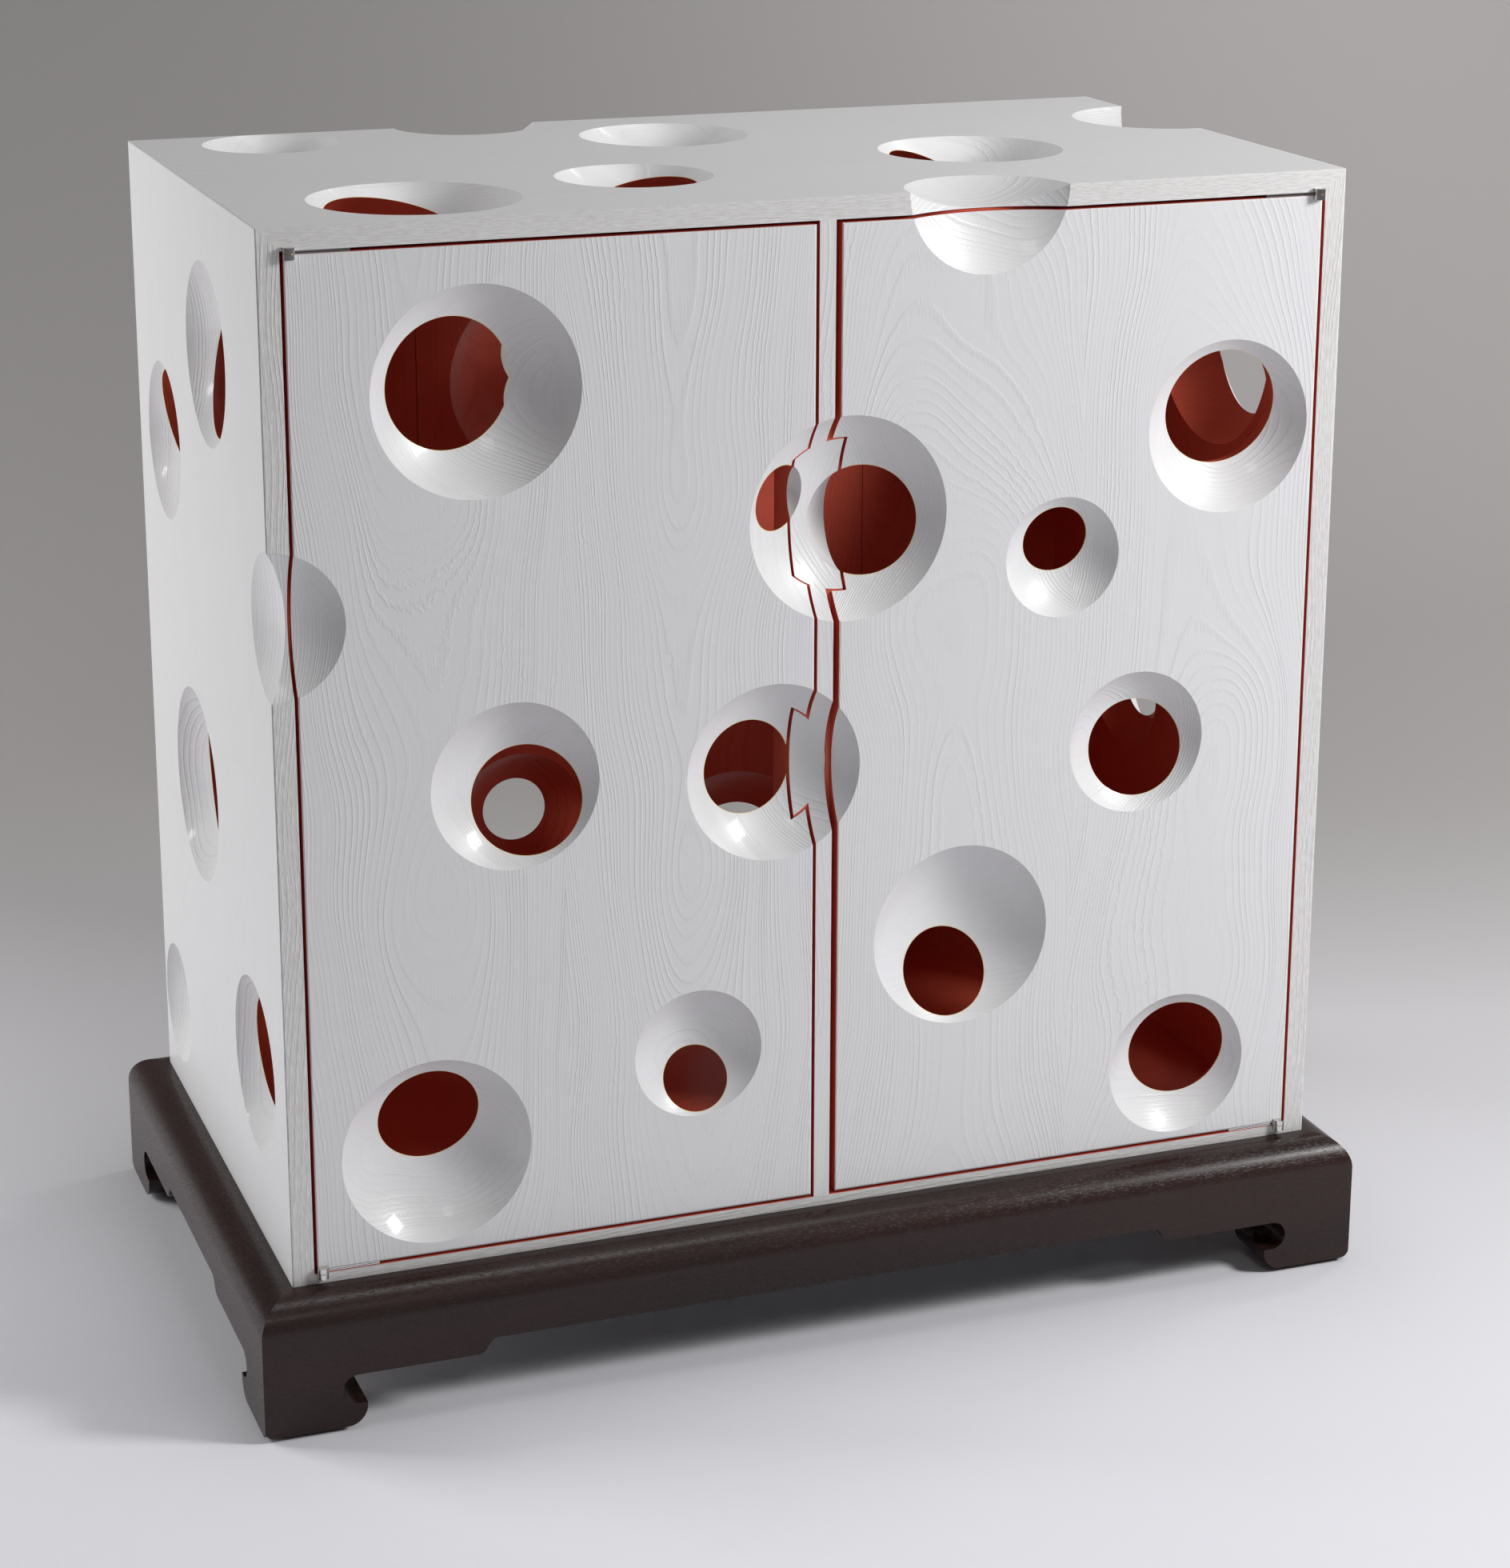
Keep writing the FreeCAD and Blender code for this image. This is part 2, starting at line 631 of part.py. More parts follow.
left_blank, top_blank, right_blank, low_blank = (
    board(name, mitred(number))
    for number, name in enumerate(("left_side_board", "top_board", "right_side_board", "bottom_board"))
)

keep("left_side", cut("left_side_cut", left_blank, [rebate] + left_balls + front_left_edge))
keep("right_side", cut("right_side_cut", right_blank, [rebate] + right_balls + right_top_edge))
keep(
    "top_panel",
    cut(
        "top_panel_cut",
        top_blank,
        [rebate] + top_balls + front_top_edge + back_top_edge + right_top_edge + lip_mortises[1],
    ),
)

# Screws that come up through the stand's corner blocks into the bottom panel.
CORNERS = (("front_left", -1, -1), ("front_right", 1, -1), ("back_left", -1, 1), ("back_right", 1, 1))
STAND_X = "(Sizes.box_width / 2 + Sizes.stand_overhang)"
STAND_Y = "(Sizes.box_depth / 2 + Sizes.stand_overhang)"
RAIL_INNER_X = "(%s - Sizes.rail_thickness)" % STAND_X
RAIL_INNER_Y = "(%s - Sizes.rail_thickness)" % STAND_Y


def ordered(near_middle, far_from_middle, side):
    """Two distances from the middle as low and high on one side of it."""
    if side > 0:
        return near_middle, far_from_middle
    return "(-(%s))" % far_from_middle, "(-(%s))" % near_middle


stand_screws = []
stand_screw_holes = []
screw_low = "(%s - Sizes.block_height - Sizes.stand_screw_radius)" % BOX_LOW
screw_rise = "Sizes.block_height + Sizes.stand_screw_radius + Sizes.stand_screw_bite"
for corner, side, end in CORNERS:
    foot = (
        "(%d * (%s - Sizes.block_size / 2))" % (side, RAIL_INNER_X),
        "(%d * (%s - Sizes.block_size / 2))" % (end, RAIL_INNER_Y),
        screw_low,
    )
    stem = rod(corner + "_screw_stem", foot, "Sizes.stand_screw_radius", screw_rise)
    head = rod(corner + "_screw_head", foot, "Sizes.stand_screw_head_radius", "Sizes.stand_screw_radius")
    stand_screws.append(fuse(corner + "_screw", [stem, head]))
    hole_radius = "Sizes.stand_screw_radius + Sizes.running_clearance"
    stand_screw_holes.append(rod(corner + "_screw_hole", foot, hole_radius, screw_rise))
keep("stand_screws", group("stand_screw_group", stand_screws))
keep("bottom_panel", cut("bottom_panel_cut", low_blank, [rebate] + lip_mortises[-1] + stand_screw_holes))

# The back: three boards whose seams show inside as two dark lines.
seam_left, seam_right = (across(share) for share in BACK_SEAM_SHARES)
half_seam = "Sizes.seam_gap / 2"
inner_back = "(%s - Sizes.panel_thickness)" % BACK
back_parts = (
    ("back_board_left", INNER_LEFT, "(%s - %s)" % (seam_left, half_seam), ("back_left",)),
    (
        "back_board_middle",
        "(%s + %s)" % (seam_left, half_seam),
        "(%s - %s)" % (seam_right, half_seam),
        ("back_low_left", "back_high", "back_high_lower", "back_low_right"),
    ),
    ("back_board_right", "(%s + %s)" % (seam_right, half_seam), INNER_RIGHT, ("back_right",)),
)
for label, start, stop, scoops in back_parts:
    blank = block(label + "_blank", (start, inner_back, INNER_LOW), (stop, BACK, INNER_TOP))
    keep(label, cut(label + "_cut", blank, all_of(back_balls, scoops) + back_top_edge))

# The post between the doors: a narrow lip in front of a wider core.
# The gap beside the right door is the wider one.
post_lip = block(
    "post_lip",
    ("(-Sizes.post_lip_width / 2)", FRONT, LIP_LOW),
    ("(Sizes.post_lip_width / 2 + Sizes.reveal - Sizes.right_reveal)", "(%s + %s)" % (FRONT, REBATE_DEPTH), LIP_TOP),
)
post_core = block(
    "post_core",
    ("(-Sizes.post_width / 2)", "(%s + %s)" % (FRONT, REBATE_DEPTH), INNER_LOW),
    ("(Sizes.post_width / 2)", "(%s + Sizes.post_depth)" % FRONT, INNER_TOP),
)
post_tools = front_balls["centre_high_post"] + front_balls["centre_low"][:1] + magnet_bores
keep("centre_post", cut("centre_post_cut", fuse("post_blank", [post_lip, post_core]), post_tools))


# The doors: a front layer that laps the rebate and a thicker layer inside it.
def door(label, side, scoops, extra):
    """A door blank, scooped, with mortises for its leaves and bores for its strike discs."""
    hinge_lip = "Sizes.box_width / 2 - Sizes.lip_width - Sizes.reveal"
    hinge_core = "Sizes.box_width / 2 - Sizes.panel_thickness - Sizes.reveal"
    low_x, high_x = ordered("(Sizes.post_lip_width / 2 + Sizes.reveal)", "(%s)" % hinge_lip, side)
    core_low_x, core_high_x = ordered("(Sizes.post_width / 2 + Sizes.reveal)", "(%s)" % hinge_core, side)
    lip_back = "(%s + Sizes.door_lip_depth)" % FRONT
    front_layer = block(
        label + "_front_layer",
        (low_x, FRONT, door_edge(-1)),
        (high_x, lip_back, door_edge(1)),
    )
    core = block(
        label + "_core",
        (core_low_x, lip_back, "(%s + Sizes.reveal)" % INNER_LOW),
        (core_high_x, "(%s + Sizes.door_thickness)" % FRONT, "(%s - Sizes.reveal)" % INNER_TOP),
    )
    blank = fuse(label + "_blank", [front_layer, core])
    tools = all_of(front_balls, scoops) + extra + door_mortises[side] + strike_bores[side]
    return keep(label, cut(label + "_cut", blank, tools))


door(
    "left_door",
    -1,
    ("upper_left", "small_left", "lower_left", "middle_left", "centre_low", "centre_high_left"),
    front_left_edge,
)
door(
    "right_door",
    1,
    ("upper_right", "small_right", "middle_right", "lower_middle", "lower_right", "centre_high_right"),
    front_balls["centre_low"][:1] + front_top_edge,
)


# The stand: four mitred rails, each with two bracket feet and a stepped apron.
def edges_along(shape, axis, fits):
    """Names of the straight edges along an axis whose middle fits."""
    names = []
    for index, edge in enumerate(shape.Edges, start=1):
        if not isinstance(edge.Curve, Part.Line):
            continue
        direction = edge.tangentAt(edge.FirstParameter)
        middle = edge.CenterOfMass
        if abs(abs(direction.dot(axis)) - 1) < PARALLEL_TOLERANCE and fits(middle):
            names.append("Edge%d" % index)
    return names


def round_edges(body, name, axis, fits, radius):
    """Fillet the edges that fit."""
    document.recompute()
    base = body.Tip
    found = edges_along(base.Shape, axis, fits)
    fillet = body.newObject("PartDesign::Fillet", name)
    fillet.Base = (base, found)
    fillet.setExpression("Radius", radius)
    body.Tip = fillet
    return fillet


def near(first, second):
    """Whether two lengths are the same place."""
    return abs(first - second) < LENGTH_TOLERANCE


def rail(label, half_length, half_number, yaw, x, y):
    """One rail, built with its outer face on the X axis and placed round the box."""
    body = document.addObject("PartDesign::Body", label + "_body")
    tip_in = "(%s - Sizes.rail_thickness)" % half_length
    plan = (
        ("(-%s)" % half_length, "0"),
        (half_length, "0"),
        (tip_in, "Sizes.rail_thickness"),
        ("(-%s)" % tip_in, "Sizes.rail_thickness"),
    )
    pad = body.newObject("PartDesign::Pad", label + "_pad")
    pad.Profile = outline_sketch(body, label + "_plan", "XY_Plane", plan)
    pad.setExpression("Length", "Sizes.stand_height")
    body.Tip = pad
    toe = "(%s - Sizes.foot_length)" % half_length
    neck = "(%s - Sizes.neck_length - Sizes.foot_notch / 2)" % half_length
    step = "(%s - Sizes.apron_length)" % half_length
    step_end = "(%s - Sizes.apron_slope)" % step
    toe_top = "Sizes.toe_height"
    apron_low = "(Sizes.toe_height + Sizes.foot_notch)"
    apron_high = "(%s + Sizes.apron_rise)" % apron_low
    side_points = (
        (toe, "(-Sizes.overrun)"),
        (toe, toe_top),
        (neck, toe_top),
        (neck, apron_low),
        (step, apron_low),
        (step_end, apron_high),
    )
    mirrored = [("(-%s)" % point[0], point[1]) for point in reversed(side_points)]
    gap = body.newObject("PartDesign::Pocket", label + "_gap")
    gap.Profile = outline_sketch(body, label + "_underside", "XZ_Plane", list(side_points) + mirrored)
    gap.Type = "ThroughAll"
    body.Tip = gap
    notch = body.newObject("Sketcher::SketchObject", label + "_notch_outline")
    notch.AttachmentSupport = [(origin_plane(body, "XZ_Plane"), "")]
    notch.MapMode = "FlatFace"
    for index, centre_x in enumerate((neck, "(-%s)" % neck)):
        middle = FreeCAD.Vector(half_number * (1 - 2 * index), size("toe_height"), 0)
        notch.addGeometry(Part.Circle(middle, FreeCAD.Vector(0, 0, 1), size("foot_notch") / 2), False)
        level = "(%s + Sizes.foot_notch / 2)" % toe_top
        for kind, expression in (("DistanceX", centre_x), ("DistanceY", level)):
            number = notch.addConstraint(Sketcher.Constraint(kind, -1, 1, index, 3, 1.0))
            notch.setExpression("Constraints[%d]" % number, expression)
        number = notch.addConstraint(Sketcher.Constraint("Radius", index, size("foot_notch") / 2))
        notch.setExpression("Constraints[%d]" % number, "Sizes.foot_notch / 2")
    notches = body.newObject("PartDesign::Pocket", label + "_notches")
    notches.Profile = notch
    notches.Type = "ThroughAll"
    body.Tip = notches

    x_axis = FreeCAD.Vector(1, 0, 0)
    y_axis = FreeCAD.Vector(0, 1, 0)
    step_x = half_number - size("apron_length")
    step_ends = (step_x, step_x - size("apron_slope"))
    toe_x = half_number - size("foot_length")
    round_edges(
        body,
        label + "_ogee",
        y_axis,
        lambda point: any(near(abs(point.x), end) for end in step_ends),
        "Sizes.apron_round",
    )
    round_edges(
        body,
        label + "_toes",
        y_axis,
        lambda point: near(abs(point.x), toe_x) and near(point.z, 0),
        "Sizes.toe_round",
    )
    round_edges(
        body,
        label + "_moulding",
        x_axis,
        lambda point: near(point.y, 0) and near(point.z, size("stand_height")),
        "Sizes.rail_round",
    )
    body.Placement = FreeCAD.Placement(FreeCAD.Vector(), FreeCAD.Rotation(FreeCAD.Vector(0, 0, 1), yaw))
    place(body, x, y, "Sizes.pad_height")
    return body


seat = block(
    "box_seat",
    ("(%s - Sizes.seat_clearance)" % LEFT, "(%s - Sizes.seat_clearance)" % FRONT, BOX_LOW),
    (
        "(%s + Sizes.seat_clearance)" % RIGHT,
        "(%s + Sizes.seat_clearance)" % BACK,
        "(%s + Sizes.overrun)" % RIM,
    ),
)


def foot_corners(label, along_x):
    """Cutters that round the outer bottom corners of a rail's feet."""
    cutters = []
    half = STAND_X if along_x else STAND_Y
    other = STAND_Y if along_x else STAND_X
    reach = "(%s + Sizes.overrun)" % other
    top = "(Sizes.pad_height + Sizes.foot_round)"
    for index, side in enumerate((-1, 1)):
        inner, outer = ordered("(%s - Sizes.foot_round)" % half, "(%s + Sizes.overrun)" % half, side)
        low = "(Sizes.pad_height - Sizes.overrun)"
        name = "%s_corner_%d" % (label, index)
        if along_x:
            corner = block(name, (inner, "(-%s)" % reach, low), (outer, reach, top))
            middle = ("(%d * (%s - Sizes.foot_round))" % (side, half), "(-%s)" % reach, top)
            turn = BACKWARD
        else:
            corner = block(name, ("(-%s)" % reach, inner, low), (reach, outer, top))
            middle = ("(-%s)" % reach, "(%d * (%s - Sizes.foot_round))" % (side, half), top)
            turn = SIDEWAYS
        roller = rod(name + "_roller", middle, "Sizes.foot_round", "2 * %s" % reach, turn)
        cutters.append(cut(name + "_cutter", corner, [roller]))
    return cutters


half_x = size("box_width") / 2 + size("stand_overhang")
half_y = size("box_depth") / 2 + size("stand_overhang")
long_corners = foot_corners("long_rail", True)
short_corners = foot_corners("short_rail", False)
RAILS = (
    ("stand_front_rail", STAND_X, half_x, 0, "0", "(-%s)" % STAND_Y, long_corners),
    ("stand_back_rail", STAND_X, half_x, 180, "0", STAND_Y, long_corners),
    ("stand_left_rail", STAND_Y, half_y, -90, "(-%s)" % STAND_X, "0", short_corners),
    ("stand_right_rail", STAND_Y, half_y, 90, STAND_X, "0", short_corners),
)
for label, half_length, half_number, yaw, x, y, corners in RAILS:
    body = rail(label, half_length, half_number, yaw, x, y)
    keep(label, cut(label + "_cut", body, [seat] + corners))


def corner_brick(name, corner, gap_x, gap_y, wide, low, high):
    """A square block in a corner of the stand, a gap in from each outer limit."""
    label, side, end = corner
    x = ordered("(%s - %s)" % (gap_x, wide), gap_x, side)
    y = ordered("(%s - %s)" % (gap_y, wide), gap_y, end)
    return block("%s_%s" % (name, label), (x[0], y[0], low), (x[1], y[1], high))


PAD_X = "(%s - Sizes.pad_inset)" % STAND_X
PAD_Y = "(%s - Sizes.pad_inset)" % STAND_Y
BLOCK_LOW = "(%s - Sizes.block_height)" % BOX_LOW
for corner in CORNERS:
    brick = corner_brick("block", corner, RAIL_INNER_X, RAIL_INNER_Y, "Sizes.block_size", BLOCK_LOW, BOX_LOW)
    keep("corner_block_" + corner[0], cut("drilled_block_" + corner[0], brick, stand_screw_holes))
    pad = corner_brick("pad", corner, PAD_X, PAD_Y, "Sizes.pad_size", "0", "Sizes.pad_height")
    keep("foot_pad_" + corner[0], pad)

document.recompute()
for feature in document.Objects:
    if "Invalid" in feature.State or "Error" in feature.State:
        raise RuntimeError("%s failed: %s" % (feature.Label, feature.State))
for label, feature in nodes.items():
    if feature.Shape.isNull() or not feature.Shape.isValid():
        raise RuntimeError("%s has no valid shape" % label)

os.makedirs("parts", exist_ok=True)
for label, feature in nodes.items():
    feature.Shape.exportStep("parts/%s.step" % label)
    print("%-28s solids %d volume %.0f" % (label, len(feature.Shape.Solids), feature.Shape.Volume))
print("%d sub-parts written" % len(nodes))
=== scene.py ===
"""A two-door cabinet of thick scooped boards on a dark stand: its looks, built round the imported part."""

import logging
import math
from dataclasses import dataclass, field
from enum import Enum
from typing import Iterable, Sequence

import bmesh
import bpy
import numpy as np
from mathutils import Euler, Matrix, Vector

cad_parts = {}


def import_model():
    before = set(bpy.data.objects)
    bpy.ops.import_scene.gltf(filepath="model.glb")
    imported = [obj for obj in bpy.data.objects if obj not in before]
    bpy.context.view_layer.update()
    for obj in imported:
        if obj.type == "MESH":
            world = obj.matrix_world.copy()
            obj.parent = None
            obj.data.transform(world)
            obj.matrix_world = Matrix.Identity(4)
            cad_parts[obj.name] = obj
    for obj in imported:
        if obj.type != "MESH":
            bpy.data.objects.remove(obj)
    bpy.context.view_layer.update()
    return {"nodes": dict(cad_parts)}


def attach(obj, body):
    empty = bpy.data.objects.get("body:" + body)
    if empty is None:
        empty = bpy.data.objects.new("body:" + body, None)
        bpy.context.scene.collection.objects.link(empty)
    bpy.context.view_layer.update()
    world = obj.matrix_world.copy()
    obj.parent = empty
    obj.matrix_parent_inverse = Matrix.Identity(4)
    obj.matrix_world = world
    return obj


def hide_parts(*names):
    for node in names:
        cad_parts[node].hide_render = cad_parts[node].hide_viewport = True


log = logging.getLogger("cabinet")

Pair = tuple[float, float]
Triple = tuple[float, float, float]
Colour = tuple[float, float, float]
Feeds = dict[str, "Wire | float"]

# The box, in metres. Shares below are of its width, its depth and its seen height.
WIDTH = 0.960
DEPTH = 0.525
SEEN_HEIGHT = 0.900
RIM_LEVEL = 0.123
SEAT_DEPTH = 0.010
LEFT = -WIDTH / 2
RIGHT = WIDTH / 2
FRONT = -DEPTH / 2
BACK = DEPTH / 2
BOX_LOW = RIM_LEVEL - SEAT_DEPTH
BOX_TOP = RIM_LEVEL + SEEN_HEIGHT
BOARD = 0.042
LIP = 0.019
REVEAL = 0.003
OVERRUN = 0.005
REBATE = 0.0195
SEAM = 0.0008
POST_HALF_LIP = 0.0085
POST_HALF_WIDTH = 0.022
DOOR_LIP = 0.0185

# A scoop's ball and how far its centre stands off the face, as shares of the scoop's rim.
BALL_SHARE = 1.379
STANDOFF_SHARE = 0.95

# How near a place counts as on a surface, how alike two directions are, and what counts as an arris.
ON_SURFACE = 0.0002
FACING = 0.9
SHARP_ANGLE = math.radians(24)


# Shaders. A mix node has sockets for every kind of value; these are its colours.
MIXED_COLOURS = (6, 7)
MIXED_RESULT = 2


class Wire:
    """A number that varies over a surface: a shader socket that takes part in sums."""

    def __init__(self, shade: "Shade", socket: bpy.types.NodeSocket) -> None:
        """Keep the socket and the material that it belongs to."""
        self.shade = shade
        self.socket = socket

    def maths(self, operation: str, *others: "Wire | float", first: bool = True) -> "Wire":
        """A Math node on this wire and others.

        Args:
            operation: the Math node's operation.
            others: the other operands.
            first: whether this wire comes first among the operands.

        Returns:
            The result as a wire.
        """
        operands = (self, *others) if first else (*others, self)
        return self.shade.node("ShaderNodeMath", {"operation": operation}, dict(enumerate(operands)))

    def __add__(self, other: "Wire | float") -> "Wire":
        """Sum."""
        return self.maths("ADD", other)

    def __sub__(self, other: "Wire | float") -> "Wire":
        """Difference."""
        return self.maths("SUBTRACT", other)

    def __mul__(self, other: "Wire | float") -> "Wire":
        """Product."""
        return self.maths("MULTIPLY", other)

    def __truediv__(self, other: "Wire | float") -> "Wire":
        """Quotient."""
        return self.maths("DIVIDE", other)

    def __radd__(self, other: float) -> "Wire":
        """Sum with a number in front."""
        return self.maths("ADD", other, first=False)

    def __rsub__(self, other: float) -> "Wire":
        """Difference from a number."""
        return self.maths("SUBTRACT", other, first=False)

    def __rmul__(self, other: float) -> "Wire":
        """Product with a number in front."""
        return self.maths("MULTIPLY", other, first=False)

    def __rtruediv__(self, other: float) -> "Wire":
        """A number divided by it."""
        return self.maths("DIVIDE", other, first=False)

    def root(self) -> "Wire":
        """Square root."""
        return self.maths("SQRT")

    def floor(self) -> "Wire":
        """The whole steps alone."""
        return self.maths("FLOOR")

    def fraction(self) -> "Wire":
        """What is left after whole steps."""
        return self.maths("FRACT")

    def size(self) -> "Wire":
        """The value without its sign."""
        return self.maths("ABSOLUTE")

    def least(self, other: "Wire") -> "Wire":
        """The smaller of two."""
        return self.maths("MINIMUM", other)

    def most(self, other: "Wire") -> "Wire":
        """The larger of two."""
        return self.maths("MAXIMUM", other)

    def smooth(self, low: float, high: float) -> "Wire":
        """A soft step from 0 at one value to 1 at another."""
        sockets = {"Value": self, "From Min": low, "From Max": high}
        return self.shade.node("ShaderNodeMapRange", {"interpolation_type": "SMOOTHSTEP"}, sockets)


class Shade:
    """The node tree of a material or of the surround, with one method that makes every node."""

    def __init__(self, name: str, owner: bpy.types.ID | None = None) -> None:
        """Start an empty tree.

        Args:
            name: the material's name.
            owner: what carries the nodes, where it isn't a new material.
        """
        self.material = owner or bpy.data.materials.new(name)
        self.material.use_nodes = True
        self.tree = self.material.node_tree
        self.tree.nodes.clear()

    def node(self, kind: str, settings: dict, sockets: dict, output: int | str = 0) -> Wire:
        """Make a node, set it up and feed its sockets.

        Args:
            kind: the node's type.
            settings: its properties.
            sockets: a value or a wire for each input, by name or number.
            output: the output to return.

        Returns:
            One of the node's outputs as a wire.
        """
        made = self.tree.nodes.new(kind)
        for key, value in settings.items():
            setattr(made, key, value)
        for key, value in sockets.items():
            if isinstance(value, Wire):
                self.tree.links.new(value.socket, made.inputs[key])
            else:
                made.inputs[key].default_value = value
        return Wire(self, made.outputs[output]) if made.outputs else Wire(self, made.inputs[0])

    def place(self) -> tuple[Wire, Wire, Wire, Wire]:
        """The surface's place on its own piece.

        Returns:
            The place as one vector, then its X, Y and Z.
        """
        spot = self.node("ShaderNodeTexCoord", {}, {}, "Object")
        parts = [self.node("ShaderNodeSeparateXYZ", {}, {0: spot}, axis) for axis in "XYZ"]
        return (spot, *parts)

    def vector(self, x: Wire | float, y: Wire | float, z: Wire | float) -> Wire:
        """A vector from three numbers."""
        return self.node("ShaderNodeCombineXYZ", {}, {0: x, 1: y, 2: z})

    def stretched(self, scales: Triple) -> Wire:
        """The surface's place, with each axis scaled by its own amount."""
        return self.vector(*(spot * scale for spot, scale in zip(self.place()[1:], scales)))

    def noise(self, where: Wire, scale: float = 1.0, detail: float = 2.0, roughness: float = 0.5) -> Wire:
        """Soft noise about a half."""
        sockets = {"Vector": where, "Scale": scale, "Detail": detail, "Roughness": roughness}
        return self.node("ShaderNodeTexNoise", {}, sockets, "Fac")

    def blend(self, share: Wire, first: Colour | Wire, second: Colour | Wire) -> Wire:
        """A mix of two colours.

        Args:
            share: how much of the second one there is.
            first: the first colour.
            second: the second colour.

        Returns:
            The mixed colour.
        """
        made = self.tree.nodes.new("ShaderNodeMix")
        made.data_type = "RGBA"
        self.tree.links.new(share.socket, made.inputs[0])
        for number, colour in zip(MIXED_COLOURS, (first, second)):
            if isinstance(colour, Wire):
                self.tree.links.new(colour.socket, made.inputs[number])
            else:
                made.inputs[number].default_value = (*colour, 1.0)
        return Wire(self, made.outputs[MIXED_RESULT])

    def bump(self, height: Wire, distance: float) -> Wire:
        """A normal that follows a height between 0 and 1."""
        sockets = {"Height": height, "Distance": distance, "Strength": 1.0}
        return self.node("ShaderNodeBump", {}, sockets, "Normal")

    def finish(self, feeds: Feeds) -> bpy.types.Material:
        """End in the main shader.

        Args:
            feeds: a value or a wire for each of its inputs, by name.

        Returns:
            The finished material.
        """
        surface = self.node("ShaderNodeBsdfPrincipled", {}, feeds, "BSDF")
        self.node("ShaderNodeOutputMaterial", {}, {"Surface": surface})
        return self.material


class Grain(Enum):
    """Which way the wood's fibres run."""

    ALONG_WIDTH = 0
    ALONG_DEPTH = 1
    UPRIGHT = 2


@dataclass(frozen=True)
class Timber:
    """How a board was sawn: its fibres' direction and where its growth rings are centred."""

    grain: Grain
    across_axis: int
    across: float
    heart: float
    tilt: float
    ring: float
    seed: float
    plank: float = 0.2235
    plank_step: float = 3.7
    swing: float = 0.09
    sway: float = 0.085
    wander: float = 4.0
    fray: float = 0.30
    tear: float = 1.1

    # How often a pattern repeats in a metre, along the fibres and across them.
    swings: Pair = (1.5, 4.0)
    sways: Pair = (2.0, 3.0)
    fibres: Pair = (22.0, 620.0)
    tears: Pair = (130.0, 190.0)
    patches: Pair = (5.0, 9.0)

    # How often a pattern repeats from one ring to the next, and in a metre along the ring.
    wanders: float = 0.16
    strengths: Pair = (0.31, 3.0)

    # Where soft steps begin and end: a ring's rise and fall, the torn patches and the strong rings.
    rise: Pair = (0.50, 0.80)
    fall: Pair = (0.86, 1.0)
    torn: Pair = (0.48, 0.66)
    strong: Pair = (0.40, 0.64)
    weakest: float = 0.30

    def directions(self, place: Sequence[Wire]) -> tuple[Wire, Wire, Wire]:
        """X, Y and Z in the order along the fibres, across the face and into the board."""
        into = 3 - self.grain.value - self.across_axis
        return place[self.grain.value], place[self.across_axis], place[into]

    def drawn_out(
        self, shade: Shade, place: Sequence[Wire], scales: Pair, shift: "Wire | float" = 0.0
    ) -> Wire:
        """The place as a pattern that is drawn out along the fibres sees it.

        Args:
            shade: the material that needs it.
            place: the surface's X, Y and Z.
            scales: how often the pattern repeats along the fibres and across them.
            shift: a value that gives each plank a pattern of its own.

        Returns:
            The place as one vector.
        """
        along, across, deep = self.directions(place)
        return shade.vector(along * scales[0], across * scales[1], deep * scales[1] + shift)

    def height(self, shade: Shade, place: Sequence[Wire]) -> tuple[Wire, Wire]:
        """The brushed surface's relief: raised rings and fine fibres.

        Args:
            shade: the material that needs it.
            place: the surface's X, Y and Z.

        Returns:
            The rings' height and the fibres' height, each between 0 and 1.
        """
        along, across, deep = self.directions(place)
        number = ((across - self.across) / self.plank).floor()
        middle = (number + 0.5) * self.plank + self.across
        own = number * self.plank_step + self.seed
        lengthways, sideways = self.swings
        bends = shade.vector(along * lengthways + own, across * sideways, deep * sideways)
        swing = shade.noise(bends) - 0.5
        sway = shade.noise(self.drawn_out(shade, place, self.sways, own)) - 0.5
        aside = across - middle + swing * self.swing
        below = deep - self.heart - along * self.tilt + sway * self.sway
        even = (aside * aside + below * below).root() / self.ring
        wander = shade.noise(shade.vector(even * self.wanders, own, 0.0), detail=1.0)
        rings = even + wander * self.wander
        fibres = shade.noise(self.drawn_out(shade, place, self.fibres), roughness=0.6)
        torn = shade.noise(self.drawn_out(shade, place, self.tears, own), detail=3.0, roughness=0.6) - 0.5
        patch = shade.noise(self.drawn_out(shade, place, self.patches, own), detail=1.0)
        ragged = rings + (fibres - 0.5) * self.fray + torn * patch.smooth(*self.torn) * self.tear
        step = ragged.fraction()
        ridge = step.smooth(*self.rise) * (1.0 - step.smooth(*self.fall))
        onwards, lengthways = self.strengths
        strength = shade.noise(shade.vector(rings * onwards, own, along * lengthways), detail=1.0)
        share = strength.smooth(*self.strong) * (1.0 - self.weakest) + self.weakest
        return ridge * share, fibres


def dimmed(colour: Colour, share: float) -> Colour:
    """A colour at a share of its brightness."""
    return tuple(value * share for value in colour)


@dataclass(frozen=True)
class Finish:
    """A material by its name. Each kind of finish says what feeds the main shader."""

    name: str

    def feeds(self, shade: Shade) -> Feeds:
        """A value or a wire for each input of the main shader, by name."""
        raise NotImplementedError

    def material(self) -> bpy.types.Material:
        """Build the material."""
        shade = Shade(self.name)
        return shade.finish(self.feeds(shade))


